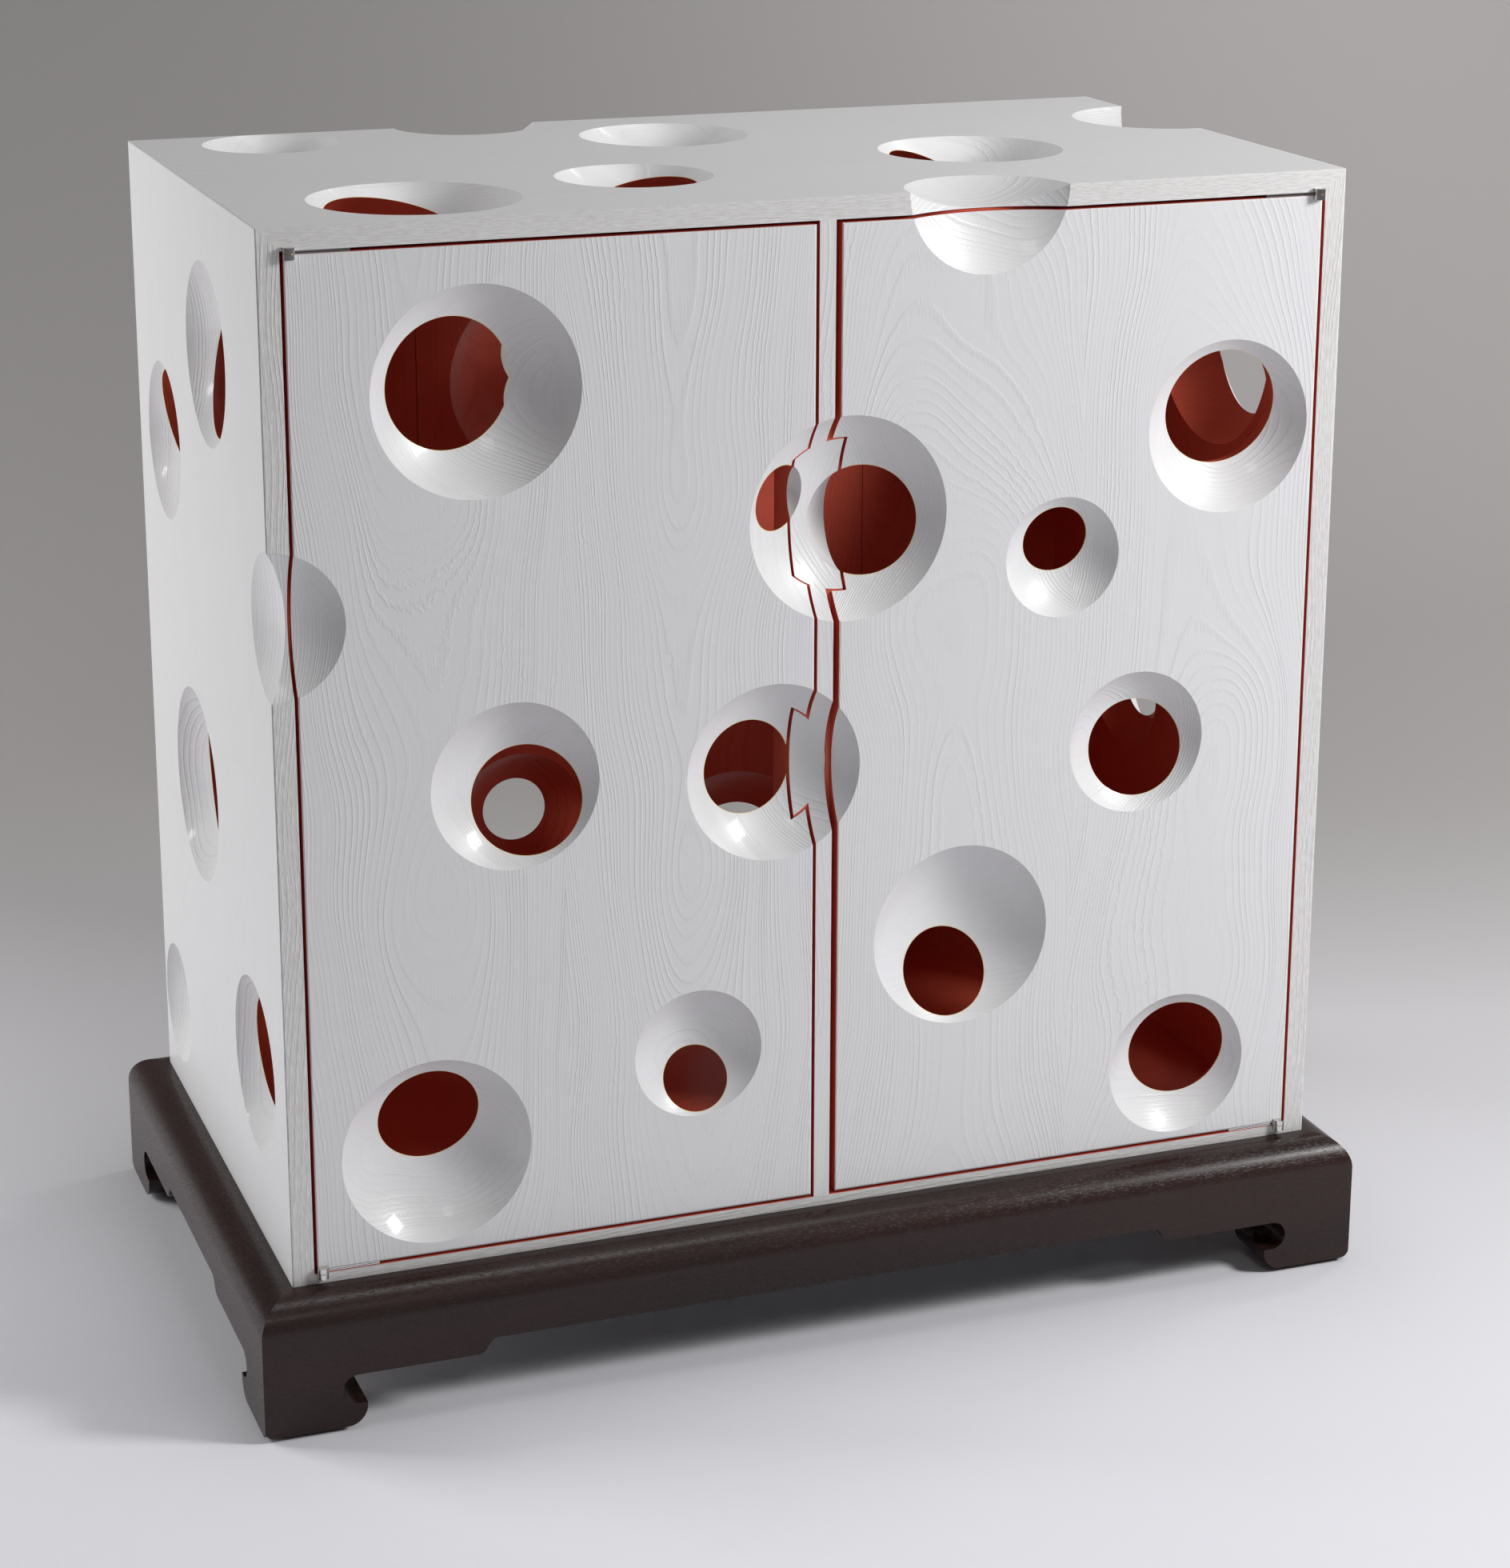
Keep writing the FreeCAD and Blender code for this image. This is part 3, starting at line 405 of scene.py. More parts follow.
@dataclass(frozen=True)
class WhiteLacquer(Finish):
    """White lacquer over brushed wood, with soft arrises and a thin cream edge where the red begins, partly
    the paint's own edge and partly a painted highlight.
    """

    timber: Timber
    low: Triple
    high: Triple
    coarse_edge: bool
    colour: Colour = (0.775, 0.770, 0.775)
    fibre_light: Colour = (0.775, 0.768, 0.762)
    fibre_dark: Colour = (0.670, 0.655, 0.638)
    # Painted highlight: this cream is partly the paint's own edge at the red and partly a highlight where
    # the hole's rim catches the light.
    edge: Colour = (0.80, 0.66, 0.38)
    ring_tone: float = 0.93
    rim_cream_and_highlight_widths: Pair = (0.0002, 0.0007)
    rounding: float = 0.0012
    strands: Pair = (90.0, 800.0)
    front_depths: Pair = (0.0004, 0.0010)

    # The shares of the relief that the rings, the fibres, the arrises and the front's strands make.
    ring_share: float = 0.20
    fibre_share: float = 0.06
    arris_share: float = 0.7
    strand_share: float = 0.1
    relief_depth: float = 0.0009

    def inside_arris(self, place: Sequence[Wire]) -> Wire:
        """How far from the edges of the board's outer box the surface lies.

        Args:
            place: the surface's X, Y and Z.

        Returns:
            0 on the edges and 1 from the rounding's width inwards.
        """
        gaps = []
        for spot, low, high in zip(place, self.low, self.high):
            gaps.append((high - low) / 2 - (spot - (high + low) / 2).size())
        lesser, greater = gaps[0].least(gaps[1]), gaps[0].most(gaps[1])
        return lesser.most(greater.least(gaps[2])).smooth(0.0, self.rounding)

    def feeds(self, shade: Shade) -> Feeds:
        """Paint over raised rings, with coarse fibres on the front edge.

        Args:
            shade: the material's nodes.

        Returns:
            A value or a wire for each input of the main shader, by name.
        """
        place = shade.place()[1:]
        ridge, fibres = self.timber.height(shade, place)
        arris = self.inside_arris(place)
        relief = ridge * self.ring_share + fibres * self.fibre_share + arris * self.arris_share
        painted = shade.blend(ridge * 0.35, self.colour, dimmed(self.colour, self.ring_tone))
        if self.coarse_edge:
            strands = self.timber.drawn_out(shade, place, self.strands)
            rope = shade.noise(strands, detail=3.0, roughness=0.6).smooth(0.36, 0.64)
            on_edge = 1.0 - place[1].smooth(*(FRONT + depth for depth in self.front_depths))
            painted = shade.blend(on_edge, painted, shade.blend(rope, self.fibre_dark, self.fibre_light))
            relief = relief + rope * on_edge * self.strand_share
        # Round every hole the rim is painted cream: partly the paint's edge, partly a painted highlight of
        # the rim catching the light.
        rim = shade.node("ShaderNodeAttribute", {"attribute_name": "rim_gap"}, {}, "Fac")
        return {
            "Base Color": shade.blend(rim.smooth(*self.rim_cream_and_highlight_widths), self.edge, painted),
            "Roughness": fibres * 0.12 + 0.32,
            "Coat Weight": 0.20,
            "Coat Roughness": 0.07,
            "Normal": shade.bump(relief, self.relief_depth),
        }


@dataclass(frozen=True)
class RedLacquer(Finish):
    """Deep red lacquer over the same wood, brushed less."""

    timber: Timber
    colour: Colour = (0.68, 0.122, 0.070)
    shadow: Colour = (0.58, 0.100, 0.058)
    relief_depth: float = 0.00018

    def feeds(self, shade: Shade) -> Feeds:
        """Paint that lies a little darker on the raised rings.

        Args:
            shade: the material's nodes.

        Returns:
            A value or a wire for each input of the main shader, by name.
        """
        ridge, fibres = self.timber.height(shade, shade.place()[1:])
        return {
            "Base Color": shade.blend(ridge * 0.5 + fibres * 0.3, self.colour, self.shadow),
            "Roughness": fibres * 0.10 + 0.36,
            "Specular IOR Level": 0.30,
            "Coat Weight": 0.12,
            "Coat Roughness": 0.10,
            "Normal": shade.bump(ridge * 0.7 + fibres * 0.3, self.relief_depth),
        }


@dataclass(frozen=True)
class DarkLacquer(Finish):
    """The stand's dark brown satin lacquer, with open pores along the rail."""

    grain: Grain
    colour: Colour = (0.026, 0.0098, 0.0078)
    band: Colour = (0.016, 0.0066, 0.0058)
    pore: Colour = (0.008, 0.006, 0.006)
    pore_depth: float = 0.00006

    # How often a pattern repeats in a metre, along the fibres and across them.
    pores: Pair = (220.0, 900.0)
    bands: Pair = (2.0, 22.0)

    def drawn_out(self, scales: Pair) -> Triple:
        """How often a pattern repeats on each axis."""
        return tuple(scales[0] if axis == self.grain.value else scales[1] for axis in range(3))

    def feeds(self, shade: Shade) -> Feeds:
        """Lacquer in two close browns, broken by the pores.

        Args:
            shade: the material's nodes.

        Returns:
            A value or a wire for each input of the main shader, by name.
        """
        fine = shade.stretched(self.drawn_out(self.pores))
        pores = shade.noise(fine, detail=3.0, roughness=0.65).smooth(0.52, 0.70)
        bands = shade.noise(shade.stretched(self.drawn_out(self.bands)), detail=3.0)
        tone = shade.blend(bands.smooth(0.35, 0.70), self.colour, self.band)
        return {
            "Base Color": shade.blend(pores * 0.6, tone, self.pore),
            "Roughness": pores * 0.20 + 0.25,
            "Specular IOR Level": 0.36,
            "Normal": shade.bump(1.0 - pores, self.pore_depth),
        }


@dataclass(frozen=True)
class BareWood(Finish):
    """Unfinished pale wood of the hidden corner blocks."""

    colour: Colour = (0.50, 0.35, 0.20)
    band: Colour = (0.38, 0.25, 0.13)
    fibre: Colour = (0.24, 0.15, 0.08)
    fibres: Triple = (300.0, 300.0, 18.0)
    bands: Triple = (60.0, 60.0, 3.0)
    relief_depth: float = 0.0002

    def feeds(self, shade: Shade) -> Feeds:
        """Bands and dark fibres, upright.

        Args:
            shade: the material's nodes.

        Returns:
            A value or a wire for each input of the main shader, by name.
        """
        fibres = shade.noise(shade.stretched(self.fibres), detail=3.0)
        bands = shade.noise(shade.stretched(self.bands))
        tone = shade.blend(bands.smooth(0.3, 0.7), self.colour, self.band)
        return {
            "Base Color": shade.blend(fibres.smooth(0.5, 0.8) * 0.5, tone, self.fibre),
            "Roughness": 0.75,
            "Normal": shade.bump(fibres, self.relief_depth),
        }


@dataclass(frozen=True)
class Metal(Finish):
    """A plain metal with a fine brushed or turned surface."""

    colour: Colour
    roughness: float
    stretch: Triple = (900.0, 900.0, 60.0)
    brushed_tone: float = 0.85
    relief_depth: float = 0.00003

    def feeds(self, shade: Shade) -> Feeds:
        """Metal with fine strokes.

        Args:
            shade: the material's nodes.

        Returns:
            A value or a wire for each input of the main shader, by name.
        """
        brush = shade.noise(shade.stretched(self.stretch))
        return {
            "Base Color": shade.blend(brush, self.colour, dimmed(self.colour, self.brushed_tone)),
            "Metallic": 1.0,
            "Roughness": brush * 0.12 + self.roughness,
            "Normal": shade.bump(brush, self.relief_depth),
        }


@dataclass(frozen=True)
class Rubber(Finish):
    """Matt black rubber with a fine moulded grain."""

    colour: Colour = (0.030, 0.030, 0.031)
    worn: Colour = (0.050, 0.050, 0.050)
    speckles: float = 1800.0
    relief_depth: float = 0.00008

    def feeds(self, shade: Shade) -> Feeds:
        """Rubber with a fine speckle.

        Args:
            shade: the material's nodes.

        Returns:
            A value or a wire for each input of the main shader, by name.
        """
        speckle = shade.noise(shade.place()[0], scale=self.speckles)
        return {
            "Base Color": shade.blend(speckle, self.colour, self.worn),
            "Roughness": speckle * 0.15 + 0.70,
            "Normal": shade.bump(speckle, self.relief_depth),
        }


# Scoops.
class Coat(Enum):
    """Which lacquer a face wears."""

    WHITE = 0
    RED = 1


@dataclass(frozen=True)
class Ball:
    """A ball that hollows a board."""

    centre: Triple
    radius: float
    coat: Coat


@dataclass(frozen=True)
class ScoopShares:
    """A scoop's rim and the balls that meet it from inside, as shares of its face and of its rim."""

    first: float
    second: float
    rim: float
    inside: tuple[tuple[float, float, float, float], ...] = ()
    inside_coat: Coat = Coat.RED


@dataclass(frozen=True)
class ScoopedFace:
    """A face of the box: which axes its lengths run along, where it lies and which way is in."""

    first_axis: int
    second_axis: int
    depth_axis: int
    plane: float
    inward: int

    @staticmethod
    def spot(axis: int, share: float) -> float:
        """A place along one of the box's lengths."""
        start, length = ((LEFT, WIDTH), (FRONT, DEPTH), (RIM_LEVEL, SEEN_HEIGHT))[axis]
        return start + length * share

    def point(self, first: float, second: float, depth: float) -> Triple:
        """A place on or behind the face.

        Args:
            first: its place along the face's first axis.
            second: its place along the second one.
            depth: how far behind the face it lies.

        Returns:
            Its X, Y and Z.
        """
        place = [0.0, 0.0, 0.0]
        place[self.first_axis] = first
        place[self.second_axis] = second
        place[self.depth_axis] = self.plane + self.inward * depth
        return tuple(place)

    def balls(self, shares: ScoopShares) -> list[Ball]:
        """The balls of a scoop.

        Args:
            shares: the scoop.

        Returns:
            The outside ball, then the inside balls.
        """
        rim = shares.rim * SEEN_HEIGHT
        first = self.spot(self.first_axis, shares.first)
        second = self.spot(self.second_axis, shares.second)
        outside = -rim * STANDOFF_SHARE
        made = [Ball(self.point(first, second, outside), rim * BALL_SHARE, Coat.WHITE)]
        for aside, above, behind, size in shares.inside:
            centre = self.point(first + rim * aside, second + rim * above, outside + rim * behind)
            made.append(Ball(centre, rim * size, shares.inside_coat))
        return made


FRONT_FACE = ScoopedFace(0, 2, 1, FRONT, 1)
BACK_FACE = ScoopedFace(0, 2, 1, BACK, -1)
TOP_FACE = ScoopedFace(0, 1, 2, BOX_TOP, -1)
LEFT_FACE = ScoopedFace(1, 2, 0, LEFT, 1)
RIGHT_FACE = ScoopedFace(1, 2, 0, RIGHT, -1)

UPPER_LEFT = ScoopShares(0.1839, 0.8420, 0.0985, ((-0.404, 0.095, 2.422, BALL_SHARE),))
UPPER_RIGHT = ScoopShares(0.8909, 0.7550, 0.0855, ((0.000, 0.240, 1.531, 0.766),))
SMALL_RIGHT = ScoopShares(0.7282, 0.6390, 0.0595, ((-0.048, 0.493, 2.469, BALL_SHARE),))
MIDDLE_RIGHT = ScoopShares(0.8078, 0.4438, 0.0719, ((0.181, -0.297, 2.380, BALL_SHARE),))
LOWER_MIDDLE = ScoopShares(0.6344, 0.2655, 0.0920, ((-0.166, -0.974, 2.389, BALL_SHARE),))
LOWER_RIGHT = ScoopShares(0.8609, 0.0955, 0.0746, ((0.165, 0.215, 1.901, 0.995),))
SMALL_LEFT = ScoopShares(0.3788, 0.1788, 0.0644, ((0.052, -0.987, 2.372, BALL_SHARE),))
LOWER_LEFT = ScoopShares(0.1342, 0.1158, 0.0923, ((-0.032, 0.619, 2.466, BALL_SHARE),))
MIDDLE_LEFT = ScoopShares(0.2118, 0.4686, 0.0812, ((0.386, -0.500, 2.358, BALL_SHARE),))
CENTRE_LOW = ScoopShares(0.4508, 0.4541, 0.0875, ((-0.426, 0.001, 2.511, BALL_SHARE),))
CENTRE_LOW_RIM = ScoopShares(0.4508, 0.4541, 0.0875)
CENTRE_HIGH_LEFT = ScoopShares(0.5204, 0.6955, 0.0993, ((-0.977, 0.321, 1.797, 0.800),))
CENTRE_HIGH_RIGHT = ScoopShares(0.5204, 0.6955, 0.0993, ((0.486, -0.190, 2.490, BALL_SHARE),))
CENTRE_HIGH_POST = ScoopShares(
    0.5204, 0.6955, 0.0993, ((-0.595, 0.193, 1.058, 0.357), (0.233, -0.092, 1.196, 0.535)), Coat.WHITE
)
TOP_SCOOPS = (
    ScoopShares(0.1228, 0.8792, 0.0690),
    ScoopShares(0.1637, 0.2081, 0.0988, ((-0.303, 0.448, 2.162, 1.180),)),
    ScoopShares(0.4913, 0.7617, 0.0864),
    ScoopShares(0.3810, 0.3185, 0.0759, ((0.452, 0.220, 2.393, BALL_SHARE),)),
    ScoopShares(0.7306, 0.4197, 0.0924, ((-0.724, 0.766, 2.404, BALL_SHARE),)),
)
LEFT_SCOOPS = (
    ScoopShares(0.4020, 0.8456, 0.0880, ((-0.112, -0.386, 2.325, BALL_SHARE),)),
    ScoopShares(0.7826, 0.7172, 0.0794, ((0.109, 0.278, 1.524, 0.760),)),
    ScoopShares(0.6176, 0.3852, 0.0982, ((-0.264, 0.091, 2.249, BALL_SHARE),)),
    ScoopShares(0.2283, 0.1733, 0.0863, ((0.099, 0.112, 2.362, BALL_SHARE),)),
    ScoopShares(0.8830, 0.0940, 0.0635),
)
RIGHT_SCOOPS = (
    ScoopShares(0.2570, 0.8220, 0.1034, ((0.250, 0.000, 2.073, BALL_SHARE),)),
    ScoopShares(0.6000, 0.4000, 0.0800, ((0.000, 0.000, 2.495, BALL_SHARE),)),
    ScoopShares(0.2600, 0.5500, 0.0640),
    ScoopShares(0.3500, 0.1600, 0.0880, ((-0.300, 0.300, 2.400, BALL_SHARE),)),
)
BACK_MIDDLE_SCOOPS = (
    ScoopShares(0.3618, 0.2520, 0.0700, ((0.000, 0.000, 2.567, BALL_SHARE),)),
    ScoopShares(0.4205, 0.7750, 0.0750, ((-0.333, -0.533, 2.916, 1.949),)),
    ScoopShares(0.4205, 0.6850, 0.0750),
    ScoopShares(0.6139, 0.1720, 0.0760, ((-0.303, 0.105, 2.753, 1.724),)),
)
BACK_RIGHT_SCOOPS = (ScoopShares(0.8800, 0.5600, 0.0900),)
BACK_LEFT_SCOOPS = (ScoopShares(0.1250, 0.5000, 0.0850),)


def edge_balls(
    corner: Triple, rim_share: float, standoff_share: float, outward: Iterable[Triple]
) -> list[Ball]:
    """Two balls, one through each face that meets at an edge.

    Args:
        corner: the scoop's middle on the edge.
        rim_share: half its length along the edge, as a share of the seen height.
        standoff_share: how far each ball's centre stands off its face, as such a share.
        outward: the direction out of each face.

    Returns:
        The two balls.
    """
    radius = math.hypot(rim_share, standoff_share) * SEEN_HEIGHT
    off = standoff_share * SEEN_HEIGHT
    return [
        Ball(tuple(level + off * step for level, step in zip(corner, way)), radius, Coat.WHITE)
        for way in outward
    ]


FORWARD, BACKWARD, LEFTWARD, RIGHTWARD, UPWARD = (0, -1, 0), (0, 1, 0), (-1, 0, 0), (1, 0, 0), (0, 0, 1)
FRONT_TOP_EDGE = edge_balls((LEFT + WIDTH * 0.6504, FRONT, BOX_TOP), 0.0811, 0.140, (FORWARD, UPWARD))
FRONT_LEFT_EDGE = edge_balls(
    (LEFT, FRONT, RIM_LEVEL + SEEN_HEIGHT * 0.6400), 0.0704, 0.110, (FORWARD, LEFTWARD)
)
BACK_TOP_EDGE = edge_balls((LEFT + WIDTH * 0.3292, BACK, BOX_TOP), 0.0750, 0.120, (BACKWARD, UPWARD))
RIGHT_TOP_EDGE = edge_balls((RIGHT, FRONT + DEPTH * 0.6850, BOX_TOP), 0.0935, 0.140, (RIGHTWARD, UPWARD))


def face_balls(face: ScoopedFace, scoops: Iterable[ScoopShares]) -> list[Ball]:
    """The balls of several scoops of one face."""
    return [ball for shares in scoops for ball in face.balls(shares)]


# Meshes.
def mesh_object(name: str, mesh: bpy.types.Mesh) -> bpy.types.Object:
    """Put a mesh in the scene.

    Args:
        name: the object's name.
        mesh: its mesh.

    Returns:
        The object.
    """
    made = bpy.data.objects.new(name, mesh)
    bpy.context.scene.collection.objects.link(made)
    return made


def skin(name: str, rings: Sequence[Sequence[Sequence[float]]]) -> bpy.types.Object:
    """A closed solid over rings of points, with its faces turned outwards.

    Args:
        name: the object's name.
        rings: the rings from one end to the other, each with as many points.

    Returns:
        The solid.
    """
    count = len(rings[0])
    last = (len(rings) - 1) * count
    faces = [list(range(count))[::-1], list(range(last, last + count))]
    for start in range(0, last, count):
        for number in range(count):
            following = (number + 1) % count
            above = start + count
            faces.append([start + number, start + following, above + following, above + number])
    mesh = bpy.data.meshes.new(name)
    mesh.from_pydata([point for ring in rings for point in ring], [], faces)
    solid = bmesh.new()
    solid.from_mesh(mesh)
    bmesh.ops.recalc_face_normals(solid, faces=solid.faces)
    solid.to_mesh(mesh)
    solid.free()
    return mesh_object(name, mesh)


def prism(name: str, outline: Sequence[Pair], low: float, high: float, axis: int) -> bpy.types.Object:
    """An outline drawn out along an axis.

    Args:
        name: the object's name.
        outline: its corners in the two other axes, in their order.
        low: where it starts.
        high: where it ends.
        axis: the axis that it is drawn out along.

    Returns:
        The solid.
    """
    rings = []
    for level in (low, high):
        ring = [list(corner) for corner in outline]
        for corner in ring:
            corner.insert(axis, level)
        rings.append(ring)
    return skin(name, rings)


def brick(name: str, low: Triple, high: Triple) -> bpy.types.Object:
    """A box between two corners."""
    outline = ((low[0], low[1]), (high[0], low[1]), (high[0], high[1]), (low[0], high[1]))
    return prism(name, outline, low[2], high[2], 2)


def circle(radius: float, sides: int) -> list[Pair]:
    """Points round a circle at the origin."""
    turns = [2 * math.pi * number / sides for number in range(sides)]
    return [(radius * math.cos(turn), radius * math.sin(turn)) for turn in turns]


def rod(
    name: str, foot: Triple, radius: float, length: float, axis: int = 2, sides: int = 48
) -> bpy.types.Object:
    """A cylinder along an axis.

    Args:
        name: the object's name.
        foot: the middle of its first end.
        radius: its radius.
        length: its length.
        axis: the axis that it runs along.
        sides: the number of its flat sides.

    Returns:
        The cylinder.
    """
    first, second = foot[:axis] + foot[axis + 1 :]
    outline = [(first + x, second + y) for x, y in circle(radius, sides)]
    return prism(name, outline, foot[axis], foot[axis] + length, axis)


def vectors(items: bpy.types.bpy_prop_collection, key: str) -> np.ndarray:
    """A vector of each face or point of a mesh.

    Args:
        items: the mesh's faces or points.
        key: the name of the vector.

    Returns:
        The vectors, in rows.
    """
    values = np.empty(len(items) * 3)
    items.foreach_get(key, values)
    return values.reshape(-1, 3)


def set_values(mesh: bpy.types.Mesh, name: str, values: Sequence[float]) -> None:
    """Give every point of a mesh a number."""
    mesh.attributes.new(name, "FLOAT", "POINT").data.foreach_set("value", values)


def shade_smooth(mesh: bpy.types.Mesh) -> None:
    """Shade a mesh smooth but for its arrises."""
    mesh.polygons.foreach_set("use_smooth", [True] * len(mesh.polygons))
    mesh.set_sharp_from_angle(angle=SHARP_ANGLE)


def set_material(piece: bpy.types.Object, material: bpy.types.Material) -> None:
    """Give a piece one material."""
    piece.data.materials.clear()
    piece.data.materials.append(material)


def plain_mesh(piece: bpy.types.Object) -> bpy.types.Mesh:
    """The mesh that a piece's modifiers give, as a mesh of its own."""
    graph = bpy.context.evaluated_depsgraph_get()
    return bpy.data.meshes.new_from_object(piece.evaluated_get(graph), depsgraph=graph)


def bake_modifiers(piece: bpy.types.Object) -> None:
    """Replace a piece's mesh by what its modifiers give, and remove them.

    Args:
        piece: the piece.
    """
    mesh = plain_mesh(piece)
    piece.modifiers.clear()
    piece.data = mesh


def combine(piece: bpy.types.Object, tools: Iterable[bpy.types.Object], operation: str) -> None:
    """Join, cut or trim a piece by tools, which are then removed.

    Args:
        piece: the piece that changes.
        tools: the solids that change it.
        operation: the kind of boolean.
    """
    tools = list(tools)
    for tool in tools:
        step = piece.modifiers.new(tool.name, "BOOLEAN")
        step.operation = operation
        step.solver = "MANIFOLD"
        step.object = tool
    bake_modifiers(piece)
    for tool in tools:
        bpy.data.objects.remove(tool)


class GeometryTree:
    """A geometry node tree, with one method that makes every node."""

    name: str
    kinds: dict[str, str]

    def __init__(self) -> None:
        """Build the tree once for every piece that uses it."""
        self.tree = bpy.data.node_groups.new(self.name, "GeometryNodeTree")
        self.inputs = {
            key: self.tree.interface.new_socket(key, in_out="INPUT", socket_type="NodeSocket" + kind)
            for key, kind in self.kinds.items()
        }
        self.tree.interface.new_socket("Result", in_out="OUTPUT", socket_type="NodeSocketGeometry")
        self.build()

    def node(self, kind: str, settings: dict, sockets: dict) -> bpy.types.bpy_prop_collection:
        """Make a node, set it up and feed its sockets.

        Args:
            kind: the node's type.
            settings: its properties.
            sockets: a value or another node's socket for each input, by name or number.

        Returns:
            The node's outputs.
        """
        made = self.tree.nodes.new(kind)
        for key, value in settings.items():
            setattr(made, key, value)
        for key, value in sockets.items():
            if isinstance(value, bpy.types.NodeSocket):
                self.tree.links.new(value, made.inputs[key])
            else:
                made.inputs[key].default_value = value
        return made.outputs

    def shape(self, piece: bpy.types.NodeSocket) -> bpy.types.NodeSocket:
        """An object's geometry."""
        return self.node("GeometryNodeObjectInfo", {}, {"Object": piece})["Geometry"]

    def stored(self, name: str) -> bpy.types.NodeSocket:
        """A number that every point carries."""
        return self.node("GeometryNodeInputNamedAttribute", {"data_type": "FLOAT"}, {"Name": name})[0]

    def finish(self, geometry: bpy.types.NodeSocket, material: bpy.types.NodeSocket) -> None:
        """End the tree with real geometry of one material.

        Args:
            geometry: what the tree has made.
            material: the material that it gets.
        """
        real = self.node("GeometryNodeRealizeInstances", {}, {"Geometry": geometry})[0]
        dressed = self.node("GeometryNodeSetMaterial", {}, {"Geometry": real, "Material": material})[0]
        self.node("NodeGroupOutput", {}, {0: dressed})

    def run(self, piece: bpy.types.Object, given: dict[str, object]) -> None:
        """Let the tree change a piece's mesh for good.

        Args:
            piece: the piece.
            given: the tree's other inputs, by name.
        """
        step = piece.modifiers.new(self.name, "NODES")
        step.node_group = self.tree
        for key, value in given.items():
            step[self.inputs[key].identifier] = value
        bake_modifiers(piece)

    def build(self) -> None:
        """Lay out the nodes."""
        raise NotImplementedError


class ScoopTree(GeometryTree):
    """Geometry nodes that press one ball after another into a board."""

    name = "scoops"
    kinds = {"Board": "Geometry", "Balls": "Object", "Fineness": "Int", "Lacquer": "Material"}
    fineness = 6

    def build(self) -> None:
        """Lay out the nodes."""
        given = self.node("NodeGroupInput", {}, {})
        points = self.shape(given["Balls"])
        count = self.node("GeometryNodeAttributeDomainSize", {}, {"Geometry": points})["Point Count"]
        opening = self.tree.nodes.new("GeometryNodeRepeatInput")
        closing = self.tree.nodes.new("GeometryNodeRepeatOutput")
        opening.pair_with_output(closing)
        self.tree.links.new(count, opening.inputs["Iterations"])
        self.tree.links.new(given["Board"], opening.inputs["Geometry"])
        where = self.node("GeometryNodeInputPosition", {}, {})[0]
        chosen = {"Geometry": points, "Index": opening.outputs["Iteration"]}
        centre, radius = [
            self.node("GeometryNodeSampleIndex", {"data_type": kind}, chosen | {"Value": value})[0]
            for kind, value in (("FLOAT_VECTOR", where), ("FLOAT", self.stored("ball_radius")))
        ]
        round_ball = {"Radius": radius, "Subdivisions": given["Fineness"]}
        ball = self.node("GeometryNodeMeshIcoSphere", {}, round_ball)["Mesh"]
        placed = self.node("GeometryNodeTransform", {}, {"Geometry": ball, "Translation": centre})[0]
        hollowed = self.node(
            "GeometryNodeMeshBoolean",
            {"operation": "DIFFERENCE", "solver": "MANIFOLD"},
            {"Mesh 1": opening.outputs["Geometry"], "Mesh 2": placed},
        )["Mesh"]
        self.tree.links.new(hollowed, closing.inputs["Geometry"])
        self.finish(closing.outputs["Geometry"], given["Lacquer"])

    def hollow(self, piece: bpy.types.Object, balls: Sequence[Ball], lacquer: bpy.types.Material) -> None:
        """Press the balls into a piece.

        Args:
            piece: the blank board.
            balls: the balls, in the order of the cuts.
            lacquer: the first material of the result.
        """
        mesh = bpy.data.meshes.new(piece.name + "_balls")
        mesh.from_pydata([ball.centre for ball in balls], [], [])
        set_values(mesh, "ball_radius", [ball.radius for ball in balls])
        points = mesh_object(piece.name + "_balls", mesh)
        self.run(piece, {"Balls": points, "Fineness": self.fineness, "Lacquer": lacquer})
        bpy.data.objects.remove(points)


